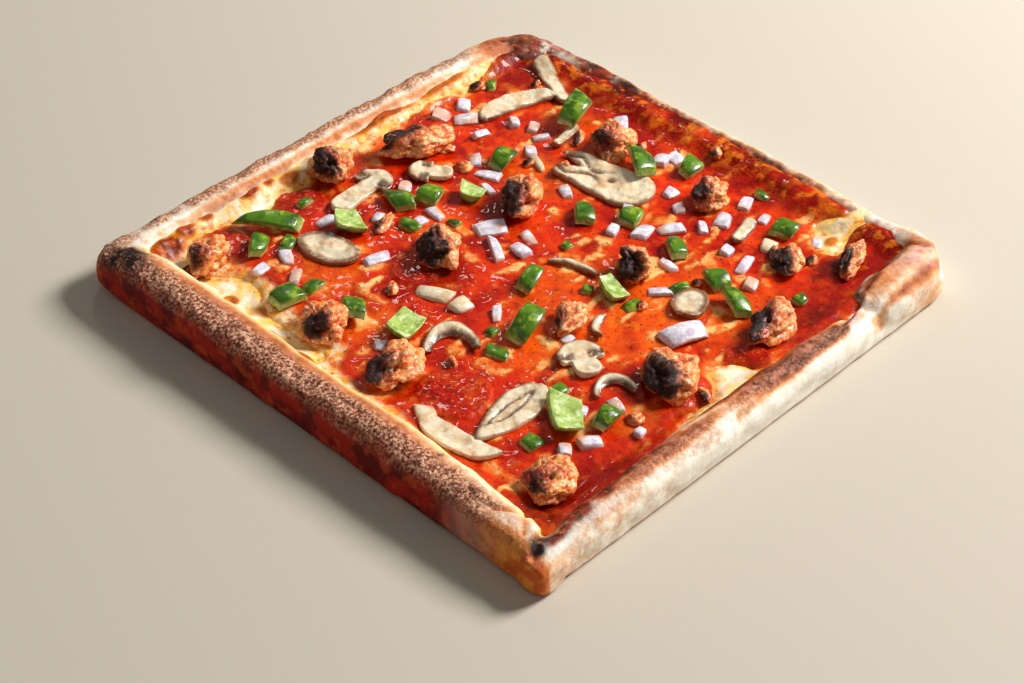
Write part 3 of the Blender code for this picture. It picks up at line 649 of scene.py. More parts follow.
def inside_edge(edge):
    """How far each point of the field lies inside a closed edge, negative outside it."""
    inside = np.zeros(field_x.shape, bool)
    nearest = np.full(field_x.shape, np.inf)
    for (ax, ay), (bx, by) in zip(edge, edge[1:] + edge[:1]):
        if ay != by:
            crosses = (ay > field_y) != (by > field_y)
            inside ^= crosses & (field_x < (bx - ax) * (field_y - ay) / (by - ay) + ax)
        nearest = np.minimum(nearest, from_line(field_x, field_y, (ax, ay), (bx, by)))
    return np.where(inside, nearest, -nearest)


def field_spots(marks):
    """How much each point of the field lies in one of the marks."""
    total = np.zeros(field_x.shape)
    for *mark, strength in marks:
        total = np.maximum(total, strength * spot(field_x, field_y, *mark))
    return total


def cell_of(place):
    """Where a place along X or Y falls in the row of cells."""
    return (place + FIELD_HALF) / (2 * FIELD_HALF) * cells


def rim_climb():
    inward = {
        "left": field_x - RIM_INNER["left"],
        "front": field_y - RIM_INNER["front"],
        "right": RIM_INNER["right"] - field_x,
        "back": RIM_INNER["back"] - field_y,
    }
    return np.maximum.reduce(
        [RIM_CLIMB[side] * eased(1 - inward[side] / RIM_CLIMB_WIDTH[side]) for side in inward]
    )


def slab_over_field(name, height, floor, where, masks):
    """A closed slab under a height field, where it is wanted, with one flat face beneath."""
    work = bmesh.new()
    layers = {mask: work.verts.layers.float.new(mask) for mask in masks}
    bmesh.ops.create_grid(work, x_segments=cells, y_segments=cells, size=FIELD_HALF)
    gone = []
    for vertex in work.verts:
        i, j = round(cell_of(vertex.co.x)), round(cell_of(vertex.co.y))
        vertex.co.z = height[i, j]
        for mask, layer in layers.items():
            vertex[layer] = float(masks[mask][i, j])
        if not where[i, j]:
            gone.append(vertex)
    bmesh.ops.delete(work, geom=gone, context="VERTS")
    around = [edge for edge in work.edges if edge.is_boundary]
    lowered = bmesh.ops.extrude_edge_only(work, edges=around)["geom"]
    for part in lowered:
        if isinstance(part, bmesh.types.BMVert):
            part.co.z = floor
    beneath = [edge for edge in work.edges if edge.is_boundary]
    bmesh.ops.triangle_fill(work, edges=beneath, use_beauty=False, use_dissolve=False)
    bmesh.ops.recalc_face_normals(work, faces=work.faces)
    return as_object(name, work)


edge_depth = inside_edge(sauce_edge()) + 1.6 * field_bumps(9, 1) + 0.8 * field_bumps(3.5, 2)
bare = eased(-edge_depth / 8 + 0.3)
blistered = field_spots(BLISTERS)
cheese_height = CHEESE_LEVEL + rim_climb() + bare * CHEESE_MOUND * (0.8 + field_bumps(21, 4))
cheese_height += bare * (0.7 * field_bumps(7, 5) + 0.4 * field_bumps(3.2, 6))
cheese_height += bare * 0.6 * eased(blistered, 0.2, 0.7) * (0.7 + 0.5 * field_bumps(4, 7))
oiled = np.maximum(eased(-abs(edge_depth + 0.5), -4.5, 0), 0.8 * eased(-field_bumps(7, 5), 0.1, 0.5))
oiled = np.maximum(oiled, 0.7 * eased(field_y, 127, 131) * eased(field_bumps(12, 8), 0.1, 0.5))
cheese_masks = {"brown": blistered, "oily": np.clip(oiled + 0.4 * eased(rim_climb(), 1.2, 3.5), 0, 1)}
bare_field = (bare > 0.01) & within_rim()
cheese_layer = slab_over_field("cheese_layer", cheese_height, CHEESE_FLOOR, bare_field, cheese_masks)


def melted_cheese():
    material, tree, shader = new_finish("melted_cheese", 0.36, coat=0.06, coat_roughness=0.12, specular=0.2)
    brown, oily = masks_of(tree, "brown", "oily")
    pools = more(tree, oily, mottled(tree, 11, 0.54, 0.7, 0.3))
    blister = lay_colours(tree, (98, 14, 2), ("amber", (176, 56, 4), None, (3.4, 0.42, 0.62, 0.1), 1))
    colour = lay_colours(
        tree,
        (240, 232, 208),
        ("butter", (238, 210, 132), None, (8, 0.44, 0.64), 1),
        ("oil", (242, 182, 46), pools, (5, 0.26, 0.52), 0.85),
        ("singed", (206, 84, 6), oily, (3.4, 0.5, 0.64, 0.7), 0.8),
        ("ring", (208, 116, 14), remap(tree, brown, 0.1, 0.5), (4, 0.08, 0.34), 1),
        ("blister", blister, remap(tree, brown, 0.5, 0.9), (5, 0.3, 0.48), 0.97),
    )
    dress(tree, shader, colour, 3.0, 1.1, 0.4)
    return material


place_piece(cheese_layer, melted_cheese(), "cheese", "cheese")

# The sauce is smooth tomato, spooned over the cheese and loose with oil. Flat red discs of cured
# meat and strings of cheese lie just under it, and its edge is thin and wandering. Beside the
# sausage lumps it is painted darker, as painted shadow.
SAUCE_FLOOR = 11.0
SAUCE_LIP = 1.1
SAUCE_DEPTH = 2.3
SAUCE_LIP_WIDTH = 12.0
# Discs under the sauce: x, y, radius.
DISCS = [
    (-95, 113, 14), (-46, 112, 14), (-42, 34, 13), (-94, -43, 18), (-17, -121, 13), (18, -121, 12),
    (46, 116, 12),
]
DISC_HEIGHT = 0.96
SMEAR_HEIGHT = 0.5
SAUCE_SUNK_EDGE = 0.6
SAUCE_EDGE_RISE = 2.05
# Darker sauce, and painted shadow on the -X side of the sausage lumps: x, y, reach along X, reach along Y,
# strength.
DARK_SAUCE_AND_SHADOW = [
    (-105, -132, 52, 22, 1), (-50, -126, 30, 14, 0.6), (-112, -40, 20, 60, 0.5),
    (62, -118, 40, 20, 0.8), (122, -112, 34, 30, 1), (136, -40, 20, 60, 1), (138, 60, 20, 80, 1),
    (-36, 24, 18, 18, 0.8), (20, 42, 15, 15, 0.8), (58, 34, 22, 10, 0.7), (22, -36, 14, 14, 0.6),
    (-30, -96, 16, 16, 0.7), (92, 42, 12, 12, 0.5), (120, 120, 30, 20, 0.8),
    (-100, 110, 20, 16, 0.6), (-20, 112, 40, 16, 0.6),
]
# Oily, orange sauce and thin cheese showing through, likewise.
ORANGE_SAUCE = [
    (12, -68, 46, 26, 0.9), (-44, -44, 24, 20, 0.7), (40, -100, 30, 14, 0.6),
    (-5, -25, 34, 20, 0.6), (-75, 62, 18, 18, 0.7), (55, 45, 18, 30, 0.7), (-50, -112, 14, 10, 0.8),
    (-88, 18, 16, 20, 0.6), (100, 55, 20, 30, 0.5), (10, 120, 40, 10, 0.6), (118, -90, 14, 10, 1),
    (-12, 50, 20, 16, 0.5),
]
# Sauce that caught at the edges, and near-black painted shadow by the sausage lumps, likewise.
BURNT_SAUCE_AND_SHADOW = [
    (138, 62, 5, 8, 1), (141, 87, 5, 6, 0.9), (139, 22, 4, 9, 0.7), (140, -30, 4, 12, 0.7),
    (131, -8, 5, 4, 0.6), (139, 118, 8, 12, 0.9), (126, 130, 12, 6, 0.9), (98, -106, 14, 7, 0.7),
    (66, -124, 14, 6, 0.5), (-34, 26, 9, 9, 0.6), (24, 38, 8, 8, 0.6), (-27, -98, 8, 8, 0.5),
    (-116, 113, 6, 6, 0.6), (-110, -10, 6, 8, 0.4), (-124, -124, 10, 10, 0.5),
]


def smears_of_cheese():
    """Soft streaks and blots of cheese that the sauce half covers, more of them at its edge."""
    along = field_bumps(6.5, 11, 2.4) + 0.2 * field_bumps(2.8, 12)
    round_blots = field_bumps(11, 17) + 0.2 * field_bumps(3.6, 18)
    patches = eased(field_bumps(27, 13), -0.25, 0.2)
    inner = np.maximum(eased(along, 0.2, 0.58) * patches, 0.8 * eased(round_blots, 0.3, 0.62))
    reach = 6 + 9 * eased(-field_x, 92, 110)
    thin_edge = eased((-edge_depth + 5 * field_bumps(5, 19)) / reach, -1, 0) * (abs(field_x) < 136)
    return np.maximum(inner, 0.9 * thin_edge * eased(-(edge_depth + 1) / (reach + 3), -1, -0.1))


def disc_heights():
    total = np.zeros(field_x.shape)
    wobble = 1.4 * field_bumps(10, 21)
    for x, y, radius in DISCS:
        away = np.hypot(field_x - x, field_y - y) + wobble
        total = np.maximum(total, eased(radius - away, 0, 2.2))
    return total



def milky_edge():
    """Where the cheese on the left laps over the sauce."""
    left = eased(-field_x, 94, 106) * eased(field_y, -74, -58)
    return left * eased(-edge_depth + 4 * field_bumps(8, 23), -13, -4)


smears = smears_of_cheese()
discs = disc_heights()
cover = SAUCE_EDGE_RISE * eased(edge_depth, -1.2, 1.6) - SAUCE_SUNK_EDGE
cover += (SAUCE_DEPTH - SAUCE_LIP) * eased(edge_depth / SAUCE_LIP_WIDTH)
ripples = 0.5 * field_bumps(30, 9) + 0.55 * field_bumps(9, 14) + 0.32 * field_bumps(3.8, 15)
swell = ripples + SMEAR_HEIGHT * smears + DISC_HEIGHT * discs
sauce_height = cheese_height - bare * SAUCE_SUNK_EDGE + cover + eased(edge_depth, 0, 6) * swell
# The deep and burnt masks also carry painted shadow beside the sausage lumps.
sauce_masks = {
    "deep": np.clip(field_spots(DARK_SAUCE_AND_SHADOW) + 0.55 * discs, 0, 1),
    "orange": np.clip(field_spots(ORANGE_SAUCE) * (1 - 0.7 * discs), 0, 1),
    "smear": smears * (1 - 0.6 * discs),
    "disc": discs,
    "burnt": field_spots(BURNT_SAUCE_AND_SHADOW),
    "caught": eased(field_x + 5 * field_bumps(10, 22), 122, 133),
    "milky": milky_edge(),
}
sauced_field = (edge_depth > -2.5) & within_rim()
sauce_layer = slab_over_field("sauce_layer", sauce_height, SAUCE_FLOOR, sauced_field, sauce_masks)


def tomato_sauce():
    material, tree, shader = new_finish("tomato_sauce", 0.34, coat=0.2, coat_roughness=0.05, specular=0.1)
    names = ("deep", "orange", "smear", "disc", "caught", "milky", "burnt")
    deep, orange, smear, disc, caught, milky, burnt = masks_of(tree, *names)
    smear = both(tree, smear, maths(tree, "SUBTRACT", 1.0, both(tree, deep, 0.7)))
    lapped = both(tree, milky, mottled(tree, 9, 0.32, 0.52, 0.35))
    colour = lay_colours(
        tree,
        (204, 40, 2),
        ("dark red", (158, 12, 0), None, (18, 0.4, 0.62), 1),
        ("light red", (226, 68, 6), None, (10, 0.46, 0.66, 0.15), 0.7),
        ("oily", (232, 86, 8), orange, (12, 0.26, 0.55), 0.9),
        ("bright oil", (240, 124, 22), orange, (8, 0.46, 0.68, 0.4), 0.6),
        # Thick dark sauce, and painted shadow beside the sausage lumps.
        ("thick", (122, 4, 0), deep, (12, 0.25, 0.55, 0.7), 0.85),
        ("cured meat", (186, 26, 12), disc, (5, 0.4, 0.56, 0.2), 0.75),
        ("speckled meat", (232, 116, 62), disc, (1.8, 0.58, 0.66, 0, 2), 0.6),
        ("thin sauce", (238, 120, 26), smear, (9, 0.05, 0.4), 0.85),
        ("pale cheese", (246, 208, 132), remap(tree, smear, 0.35, 0.95), (9, 0.36, 0.6, 0.5), 0.85),
        ("milky cheese", (240, 176, 66), lapped, None, 0.9),
        ("cream", (246, 234, 200), lapped, (5, 0.4, 0.6, 0.1), 0.9),
        ("amber", (200, 84, 8), deep, (6, 0.54, 0.68, 0.45), 0.6),
        ("fried", (226, 120, 22), caught, (7, 0.5, 0.62, 0.55), 0.75),
        ("dark specks", (84, 8, 0), None, (2, 0.63, 0.68, 0.9, 2), 0.7),
        # Burnt sauce at the edges, and near-black painted shadow beside the lumps.
        ("burnt", (42, 5, 2), burnt, (4, 0.3, 0.5, 0.65), 0.9),
    )
    dress(tree, shader, colour, 3.6, 1.2, 0.8)
    return material


place_piece(sauce_layer, tomato_sauce(), "sauce", "sauce")

# Raw onion, diced small, is scattered over the sauce and half sunk in it. Each die is a short
# curved strip of one onion layer, white and slightly clear, with faint lilac veins.
ONION_HEIGHT = 3.0
ONION_SINK = 0.8
ONION_BEND = 0.03
ONION_ROUND = 0.13
WET_REACH = 1.2
CHIP_LEAN = 0.12
CHIP_TAPER = 0.05
CHIP_PINCH = 0.06
CHIP_WANDER = 0.3
CHIP_DENT = 0.22
# Each die: x, y, length, width, turn in degrees.
ONION_DICE = [
    (-96, 85, 9, 6, 10), (-81, 83, 11, 6, 60), (-88, 69, 10, 6, 35), (-47, 92, 12, 6, -5),
    (-50, 52, 14, 7, -15), (1, 85, 9, 7, 40), (-5, 58, 12, 6, 80), (-15, 59, 7, 6, 0),
    (6, 30, 15, 11, -20), (-5, 17, 17, 5, 60), (3, 8, 11, 8, 80), (13, 12, 12, 6, 70),
    (37, 63, 15, 7, -65), (42, 77, 12, 6, 50), (64, 105, 13, 8, -35), (57, 117, 11, 9, 20),
    (73, 116, 11, 7, 40), (80, 86, 10, 6, 55), (84, 76, 8, 6, 30), (118, 46, 13, 11, 40),
    (109, 9, 12, 8, 20), (115, 5, 8, 9, 0), (57, -24, 13, 7, 15), (67, -32, 15, 8, -30),
    (27, -61, 13, 7, -45), (90, -13, 8, 7, 0), (91, -46, 11, 8, 20), (74, -63, 9, 7, 10),
    (62, -87, 9, 7, 20), (-50, -101, 11, 5, 65), (-75, -109, 11, 7, -30), (-87, -104, 9, 5, 45),
    (72, -76, 14, 5, 15), (28, 54, 9, 5, 80), (110, -45, 10, 6, 25), (107, -60, 9, 5, 15),
    (45, -50, 11, 5, 85), (79, -43, 9, 4, 50), (53, 25, 10, 6, 60), (68, 63, 10, 6, 50),
    (-40, -18, 11, 5, 45), (113, -88, 8, 5, 30), (80, 67, 9, 5, -30), (60, 90, 9, 5, -10),
    (-28, 76, 8, 5, 25), (-93, 3, 8, 6, -40), (-63, -91, 9, 7, 30), (-30, -53, 7, 5, 0),
    (46, -13, 8, 5, 20), (83, -24, 7, 5, 60), (-55, -120, 6, 5, 0), (66, -6, 7, 5, 40),
]


def sauce_level(x, y):
    """The height of the sauce at one place, read between the points of its field."""
    u, v = (min(max(cell_of(place), 0), cells - 1e-6) for place in (x, y))
    i, j = int(u), int(v)
    across, along = u - i, v - j
    low = sauce_height[i, j] * (1 - across) + sauce_height[i + 1, j] * across
    high = sauce_height[i, j + 1] * (1 - across) + sauce_height[i + 1, j + 1] * across
    return float(low * (1 - along) + high * along)


def cut_chip(length, width, height, bend, seed, cuts=3, round_off=0.22, uneven=0.1):
    """A chip with softened edges, uneven corners and a slight bend. Its top is marked as its skin."""
    draw = random.Random(seed)
    work = bmesh.new()
    skin = work.verts.layers.float.new("skin")
    bmesh.ops.create_cube(work, size=1)
    bmesh.ops.scale(work, vec=(length, width, height), verts=work.verts)
    round_edges(work, work.edges[:], round_off * min(height, width), 2)
    for axis, side in enumerate((length, width)):
        long_edges = [e for e in work.edges if abs((e.verts[0].co - e.verts[1].co)[axis]) > side * 0.3]
        bmesh.ops.subdivide_edges(work, edges=long_edges, cuts=cuts, use_grid_fill=True)
    corners = {}
    for across in (-1, 1):
        for along in (-1, 1):
            shift_x = draw.uniform(-1, 1) * uneven * length
            corners[across, along] = Vector((shift_x, draw.uniform(-1, 1) * uneven * width * 1.5, 0))
    lean = draw.uniform(-CHIP_LEAN, CHIP_LEAN)
    for vertex in work.verts:
        vertex[skin] = float(eased(vertex.co.z / height, 0.22, 0.42))
        u, v, w = vertex.co.x / length * 2, vertex.co.y / width * 2, vertex.co.z / height * 2
        for (across, along), offset in corners.items():
            vertex.co += offset * (1 + across * u) * (1 + along * v) / 4
        vertex.co.x -= CHIP_TAPER * length * w * u
        vertex.co.y += lean * height * w - CHIP_PINCH * width * v * u * u
        vertex.co.z -= bend * length * u * u + CHIP_PINCH * width * v * v
        wander = (unevenness(vertex.co, 3, seed), unevenness(vertex.co, 3, seed + 40), 0)
        vertex.co += CHIP_WANDER * Vector(wander)
        vertex.co.z += CHIP_DENT * unevenness(vertex.co, 2.2, seed + 80)
    return work


def keep_wet(work, reach):
    """Marks how far sauce and oil have crept up a piece, for its finish to read."""
    layer = work.verts.layers.float.new("wet")
    for vertex in work.verts:
        above = vertex.co.z - sauce_level(vertex.co.x, vertex.co.y)
        vertex[layer] = float(eased(-above + 0.8 * unevenness(vertex.co, 3, 31), -reach, -0.2))


def turned(work, turn, tilt=0.0, roll=0.0):
    work.transform(Euler((math.radians(tilt), math.radians(roll), math.radians(turn))).to_matrix().to_4x4())
    return work


def move(work, x, y, z=0.0):
    bmesh.ops.translate(work, vec=(x, y, z), verts=work.verts)


def gather(target, work):
    """Moves the shapes of one bmesh into another."""
    carried = bpy.data.meshes.new("carried")
    work.to_mesh(carried)
    work.free()
    target.from_mesh(carried)
    bpy.data.meshes.remove(carried)


def finish_topping(name, work, wet_reach, material, slot, node):
    """Marks how wet a piece is, and makes it an object with its finish and its node."""
    keep_wet(work, wet_reach)
    place_piece(as_object(name, work), material, slot, node)


def scatter(name, dice, height, sink, bend, round_off, material, slot):
    """All the small pieces of one kind as one joined piece, each part sunk in the sauce."""
    joined = bmesh.new()
    for index, (x, y, length, width, turn) in enumerate(dice):
        draw = random.Random(index + 500)
        thick = height * draw.uniform(0.8, 1.2)
        chip = cut_chip(length, width, thick, bend, index, 3, round_off, 0.09)
        turned(chip, turn, draw.uniform(-15, 15), draw.uniform(-9, 9))
        move(chip, x, y, sauce_level(x, y) + thick * 0.5 - sink * draw.uniform(0.7, 1.5))
        gather(joined, chip)
    finish_topping(name, joined, WET_REACH, material, slot, "sauce")


def make_sauced_foot():
    """A topping's colour, with tomato sauce crept up its foot in ragged patches."""
    tree = bpy.data.node_groups.new("sauced_foot", "ShaderNodeTree")
    tree.interface.new_socket("Colour", in_out="INPUT", socket_type="NodeSocketColor")
    tree.interface.new_socket("Strength", in_out="INPUT", socket_type="NodeSocketFloat")
    tree.interface.new_socket("Colour", in_out="OUTPUT", socket_type="NodeSocketColor")
    given, result = tree.nodes.new("NodeGroupInput"), tree.nodes.new("NodeGroupOutput")
    wet = both(tree, masks_of(tree, "wet")[0], given.outputs["Strength"])
    layer = ("sauce", (196, 46, 6), wet, (3, 0.25, 0.5, 0.35), 1)
    tree.links.new(lay_colours(tree, given.outputs["Colour"], layer), result.inputs["Colour"])
    return tree


SAUCED_FOOT = make_sauced_foot()


def sauced(tree, colour, strength=0.8):
    return effect(tree, SAUCED_FOOT, Colour=colour, Strength=strength)


def let_light_in(shader, share, reach):
    """Lets a share of the light in under the surface, by a reach in metres for each colour."""
    shader.inputs["Subsurface Weight"].default_value = share
    shader.inputs["Subsurface Radius"].default_value = reach


def raw_onion():
    material, tree, shader = new_finish("raw_onion", 0.24, coat=0.3, coat_roughness=0.08, specular=0.4)
    let_light_in(shader, 0.3, (0.004, 0.0025, 0.002))
    colour = lay_colours(
        tree,
        (228, 226, 232),
        ("lilac", (200, 192, 210), None, (3.4, 0.42, 0.62), 1),
        ("pink", (218, 170, 176), None, (5, 0.56, 0.7, 0.5), 0.4),
        ("oily", (226, 156, 92), None, (16, 0.52, 0.62, 0.75), 0.6),
    )
    dress(tree, shader, sauced(tree, colour), 2.2, 0.8, 0.4)
    return material


ONION_FINISH = raw_onion()
scatter(
    "onion_dice", ONION_DICE, ONION_HEIGHT, ONION_SINK, ONION_BEND, ONION_ROUND, ONION_FINISH, "onion"
)

# Mushroom slices are cut through cap and stem, and baked. The flesh is ivory, with a thin brown
# skin round the cap and dark gills where the cap meets the stem. They lie down in the sauce.
SLICE_THICKNESS = 3.2
SLICE_GRAIN = 0.75
SLICE_SMOOTHINGS = 2
SLICE_SINK = 0.7
SLICE_CURL = 2.2
SLICE_HOLD = 0.75
SLICE_WET_REACH = 1.3
# Each slice: its cut, x, y, length, width, turn in degrees.
MUSHROOMS = [
    ("oval", -62, 74, 35, 21, -78), ("whole", -19, 97, 40, 21, 8), ("whole", 17, 84, 23, 18, 125),
    ("half", 92, 98, 47, 15, -14), ("strip", 121, 97, 42, 10, 64), ("fan", 75, 19, 58, 29, -82),
    ("arch", -68, -15, 27, 19, -40), ("leaf", -87, -71, 47, 19, 186),
    ("half", -116.5, -65, 46, 17, 94), ("whole", -37, -69, 25, 23, 65),
    ("arch", -40, -90, 20, 14, -35), ("oval", 29, -77, 21, 18, 20),
    ("crescent", 12, -19, 27, 7, -72), ("crescent", -14, -58, 18, 7, 35),
    ("strip", 91, -59, 21, 8, 15), ("strip", 89, 58, 22, 7, 12),
]


def arc(centre, radii, start, stop, steps):
    """Points on part of an ellipse, from start to stop in degrees."""
    angles = [math.radians(start + (stop - start) * k / steps) for k in range(steps + 1)]
    return [(centre[0] + radii[0] * math.cos(a), centre[1] + radii[1] * math.sin(a)) for a in angles]


def slice_outline(cut, length, width):
    """A slice seen flat. The cap is at +X and the foot of the stem at -X."""
    half, across = length / 2, width / 2
    if cut == "oval":
        return arc((0, 0), (half, across), 0, 345, 23)
    if cut == "leaf":
        return [(x, y * (1 - 0.45 * x / half)) for x, y in arc((0, 0), (half, across), 0, 345, 23)]
    if cut == "half":
        outer = arc((0, -across), (half, width), 0, 180, 20)
        return outer + arc((0, -across), (half * 0.9, width * 0.12), 165, 15, 8)
    if cut == "fan":
        cap = arc((half - across, 0), (across, across), -90, 90, 16)
        forked_end = [
            (-half * 0.75, across * 0.86), (-half, across * 0.45), (-half * 0.45, across * 0.08),
            (-half * 0.9, -across * 0.25), (-half * 0.82, -across * 0.78),
        ]
        return cap + forked_end
    if cut == "strip":
        round_end = arc((half - across, 0), (across, across), -75, 75, 8)
        return round_end + arc((across - half, 0), (across, across * 0.8), 105, 255, 8)
    if cut == "crescent":
        outer = arc((0, -across), (half, width), 0, 180, 20)
        return outer + arc((0, -across), (half * 0.9, width * 0.3), 170, 10, 10)
    if cut == "arch":
        outer = arc((0, -across), (half, width), -5, 185, 20)
        return outer + arc((0, -across), (half * 0.66, width * 0.55), 180, 0, 14)
    cap_depth = min(length * 0.46, across * 1.05)
    lip = half - cap_depth
    stem = across * 0.5
    cap = arc((lip, 0), (cap_depth, across), -90, 90, 20)
    upper = [(lip - cap_depth * 0.28, across * 0.86), (lip - cap_depth * 0.12, stem)]
    foot = arc((-half + stem, 0), (stem, stem * 1.15), 105, 255, 8)
    lower = [(x, -y) for x, y in reversed(upper)]
    return cap + upper + foot + lower


def depth_in_outline(points, outline):
    """How far each point of a slice lies from its outline."""
    x, y, _ = points.T
    sides = zip(outline, outline[1:] + outline[:1])
    return np.minimum.reduce([from_line(x, y, start, stop) for start, stop in sides])


def skin_and_gills(cut, x, y, depth, length, width):
    """Where a slice shows its brown skin, and where its dark gills."""
    rim = eased(-depth, -1.9, -0.4)
    gills = np.zeros(len(x))
    if cut == "whole":
        lip = length / 2 - min(length * 0.46, width * 0.52)
        rim = rim * eased(x, -length * 0.05, length * 0.12)
        gills = eased(-abs(x - lip - 1.0), -3.4, -1.2) * eased(abs(y), width * 0.1, width * 0.2)
    elif cut == "fan":
        arms = abs(y) - width * (0.16 + 0.1 * np.sin(x / 4))
        gills = eased(-abs(arms), -2.2, -0.5) * eased(-x, -length * 0.1, length * 0.1)
        gills = np.maximum(gills, eased(-np.hypot(x - length * 0.08, y), -3.4, -1.0))
        rim = np.maximum(rim * 0.7, eased(-x, length * 0.28, length * 0.42))
    elif cut == "leaf":
        first = abs(y - 0.1 * width + 0.012 * (x + 6) ** 2)
        second = abs(y + 0.2 * width - 0.01 * (x - 2) ** 2)
        inner = eased(-abs(x + 1), -length * 0.4, -length * 0.3)
        gills = np.maximum(eased(-first, -1.3, -0.3), eased(-second, -1.1, -0.3)) * inner
        rim = eased(-depth, -2.8, -0.6) * eased(-y, -width * 0.1, width * 0.1)
    elif cut == "half":
        rim = eased(-(y + width / 2), -3.2, -1.0)
        gills = eased(-(y + width / 2), -1.8, -0.6)
    elif cut == "arch":
        inside = np.hypot(x / (length * 0.33), (y + width / 2) / (width * 0.55))
        gills = eased(-inside, -1.4, -1.1)
    elif cut == "oval":
        rim = eased(-depth, -4.2, -1.6)
    return rim, gills


def cut_slice(cut, length, width, seed):
    """A slice lying flat, with its brown skin and gills marked."""
    outline = slice_outline(cut, length, width)
    work = bmesh.new()
    face = work.faces.new([work.verts.new((x, y, 0)) for x, y in outline])
    lifted = bmesh.ops.extrude_face_region(work, geom=[face], use_keep_orig=True)["geom"]
    upper = [g for g in lifted if isinstance(g, bmesh.types.BMVert)]
    bmesh.ops.translate(work, vec=(0, 0, SLICE_THICKNESS), verts=upper)
    bmesh.ops.recalc_face_normals(work, faces=work.faces)
    work = one_skin(as_object("slice_blank", work), SLICE_GRAIN)
    soften(work, SLICE_SMOOTHINGS)
    points = places(work)
    depth = depth_in_outline(points, outline)
    x, y, z = points.T
    rim, gills = skin_and_gills(cut, x, y, depth, length, width)
    dent = 0.8 * bumps(points, 7, seed) + 0.35 * bumps(points, 2.6, seed + 9) - 0.9 * gills - 0.5 * rim
    top = eased(z, SLICE_THICKNESS * 0.4, SLICE_THICKNESS)
    for vertex, push in zip(work.verts, dent * top):
        vertex.co.z += float(push)
    keep_mask(work, "rim", rim)
    keep_mask(work, "gills", gills)
    return work


def drape(work, seed):
    """Lets a flat slice follow the sauce beneath it, with its ends curling up a little."""
    xs = [v.co.x for v in work.verts]
    ys = [v.co.y for v in work.verts]
    middle_x, middle_y = (min(xs) + max(xs)) / 2, (min(ys) + max(ys)) / 2
    reach = max(max(xs) - min(xs), max(ys) - min(ys)) / 2
    level = sauce_level(middle_x, middle_y)
    for vertex in work.verts:
        here = sauce_level(vertex.co.x, vertex.co.y)
        from_middle = math.hypot(vertex.co.x - middle_x, vertex.co.y - middle_y) / reach
        lift = SLICE_CURL * from_middle**2 * (0.5 + unevenness(vertex.co, reach * 1.4, seed))
        vertex.co.z += SLICE_HOLD * here + (1 - SLICE_HOLD) * level - SLICE_SINK + lift


def baked_mushroom():
    material, tree, shader = new_finish("baked_mushroom", 0.32, coat=0.25, coat_roughness=0.1, specular=0.4)
    let_light_in(shader, 0.15, (0.003, 0.002, 0.001))
    rim, gills = masks_of(tree, "rim", "gills")
    colour = lay_colours(
        tree,
        (230, 217, 187),
        ("baked", (216, 188, 148), None, (7, 0.42, 0.62), 1),
        ("browned", (188, 138, 84), None, (3.4, 0.58, 0.72, 0.3), 0.5),
        ("oily", (214, 122, 44), None, (9, 0.58, 0.72, 0.8), 0.5),
        ("skin", (126, 70, 32), rim, (4, 0.2, 0.46, 0.6), 0.9),
        ("gills", (82, 42, 20), gills, (1.8, 0.26, 0.5), 0.92),
    )
    dress(tree, shader, sauced(tree, colour, 0.75), 2.6, 0.8, 0.4)
    return material


MUSHROOM_FINISH = baked_mushroom()
for number, (cut, x, y, length, width, turn) in enumerate(MUSHROOMS, 1):
    blank = turned(cut_slice(cut, length, width, number), turn)
    move(blank, x, y)
    drape(blank, number)
    name, node = f"mushroom_slice_{number:02d}", f"mushroom_{number:02d}"
    finish_topping(name, blank, SLICE_WET_REACH, MUSHROOM_FINISH, "mushroom", node)

# The smaller bits of mushroom are chips of the same flesh, joined as one piece and half sunk in
# the sauce. Each: x, y, length, width, turn in degrees.
MUSHROOM_BITS = [
    (-48, -2, 11, 10, 0), (91, -75, 10, 8, 20), (62, 52, 13, 5, 70), (-50, 14, 9, 17, 20),
    (-112, -43, 11, 9, 50),
]
MUSHROOM_BIT_HEIGHT = 3.2
MUSHROOM_BIT_SINK = 0.6
MUSHROOM_BIT_BEND = 0.06
MUSHROOM_BIT_ROUND = 0.3
scatter(
    "mushroom_bits", MUSHROOM_BITS, MUSHROOM_BIT_HEIGHT, MUSHROOM_BIT_SINK, MUSHROOM_BIT_BEND,
    MUSHROOM_BIT_ROUND, MUSHROOM_FINISH, "mushroom",
)

# The sausage is torn raw from its skin and dropped on in lumps, which brown in the oven. They
# are craggy and glossy with fat, burnt black on top and on the side away from the light, partly
# char and partly painted shade, and pinkish orange on the side towards the light, which is
# painted light.
# Each lump: x, y, length, width, height, turn in degrees, and how burnt it is.
SAUSAGES = [
    (-110, 107, 24, 17, 12, 30, 0.45), (-104, 31, 25, 19, 13, 55, 0.6),
    (-102, -15, 29, 19, 12, 20, 0.5), (-19, 119, 24, 20, 15, 60, 0.75),
    (27, 104, 39, 21, 14, -20, 0.7), (-28, 33, 27, 20, 15, 45, 1), (31, 33, 28, 19, 15, 25, 0.85),
    (99, 34, 24, 19, 14, 40, 0.4), (29, -42, 21, 15, 14, 50, 0.9), (100, -31, 23, 17, 12, 20, 0.5),
    (-21, -46, 22, 13, 9, 20, 0.3), (-20, -107, 31, 24, 14, 40, 0.9),
    (-109, -116, 26, 21, 11, 20, 0.4), (43, -116, 33, 17, 11, 10, 0.75),
    (87, -90, 21, 14, 8, 30, 0.95), (110, -111, 29, 10, 8, 20, 0.6),
]
SAUSAGE_SINK = 0.8
SAUSAGE_WET_REACH = 2.0
LUMP_FINENESS = 5
KNOB_SIZE = 0.52
KNOB_HEIGHT = 3.4
SMALL_KNOB_SIZE = 0.22
SMALL_KNOB_HEIGHT = 1.7
# The upper side away from the light, where the lumps are drawn burnt black: partly char, partly painted
# shade.
BURNT_AND_SHADED_SIDE = Vector((-0.55, 0.55, 0.63))


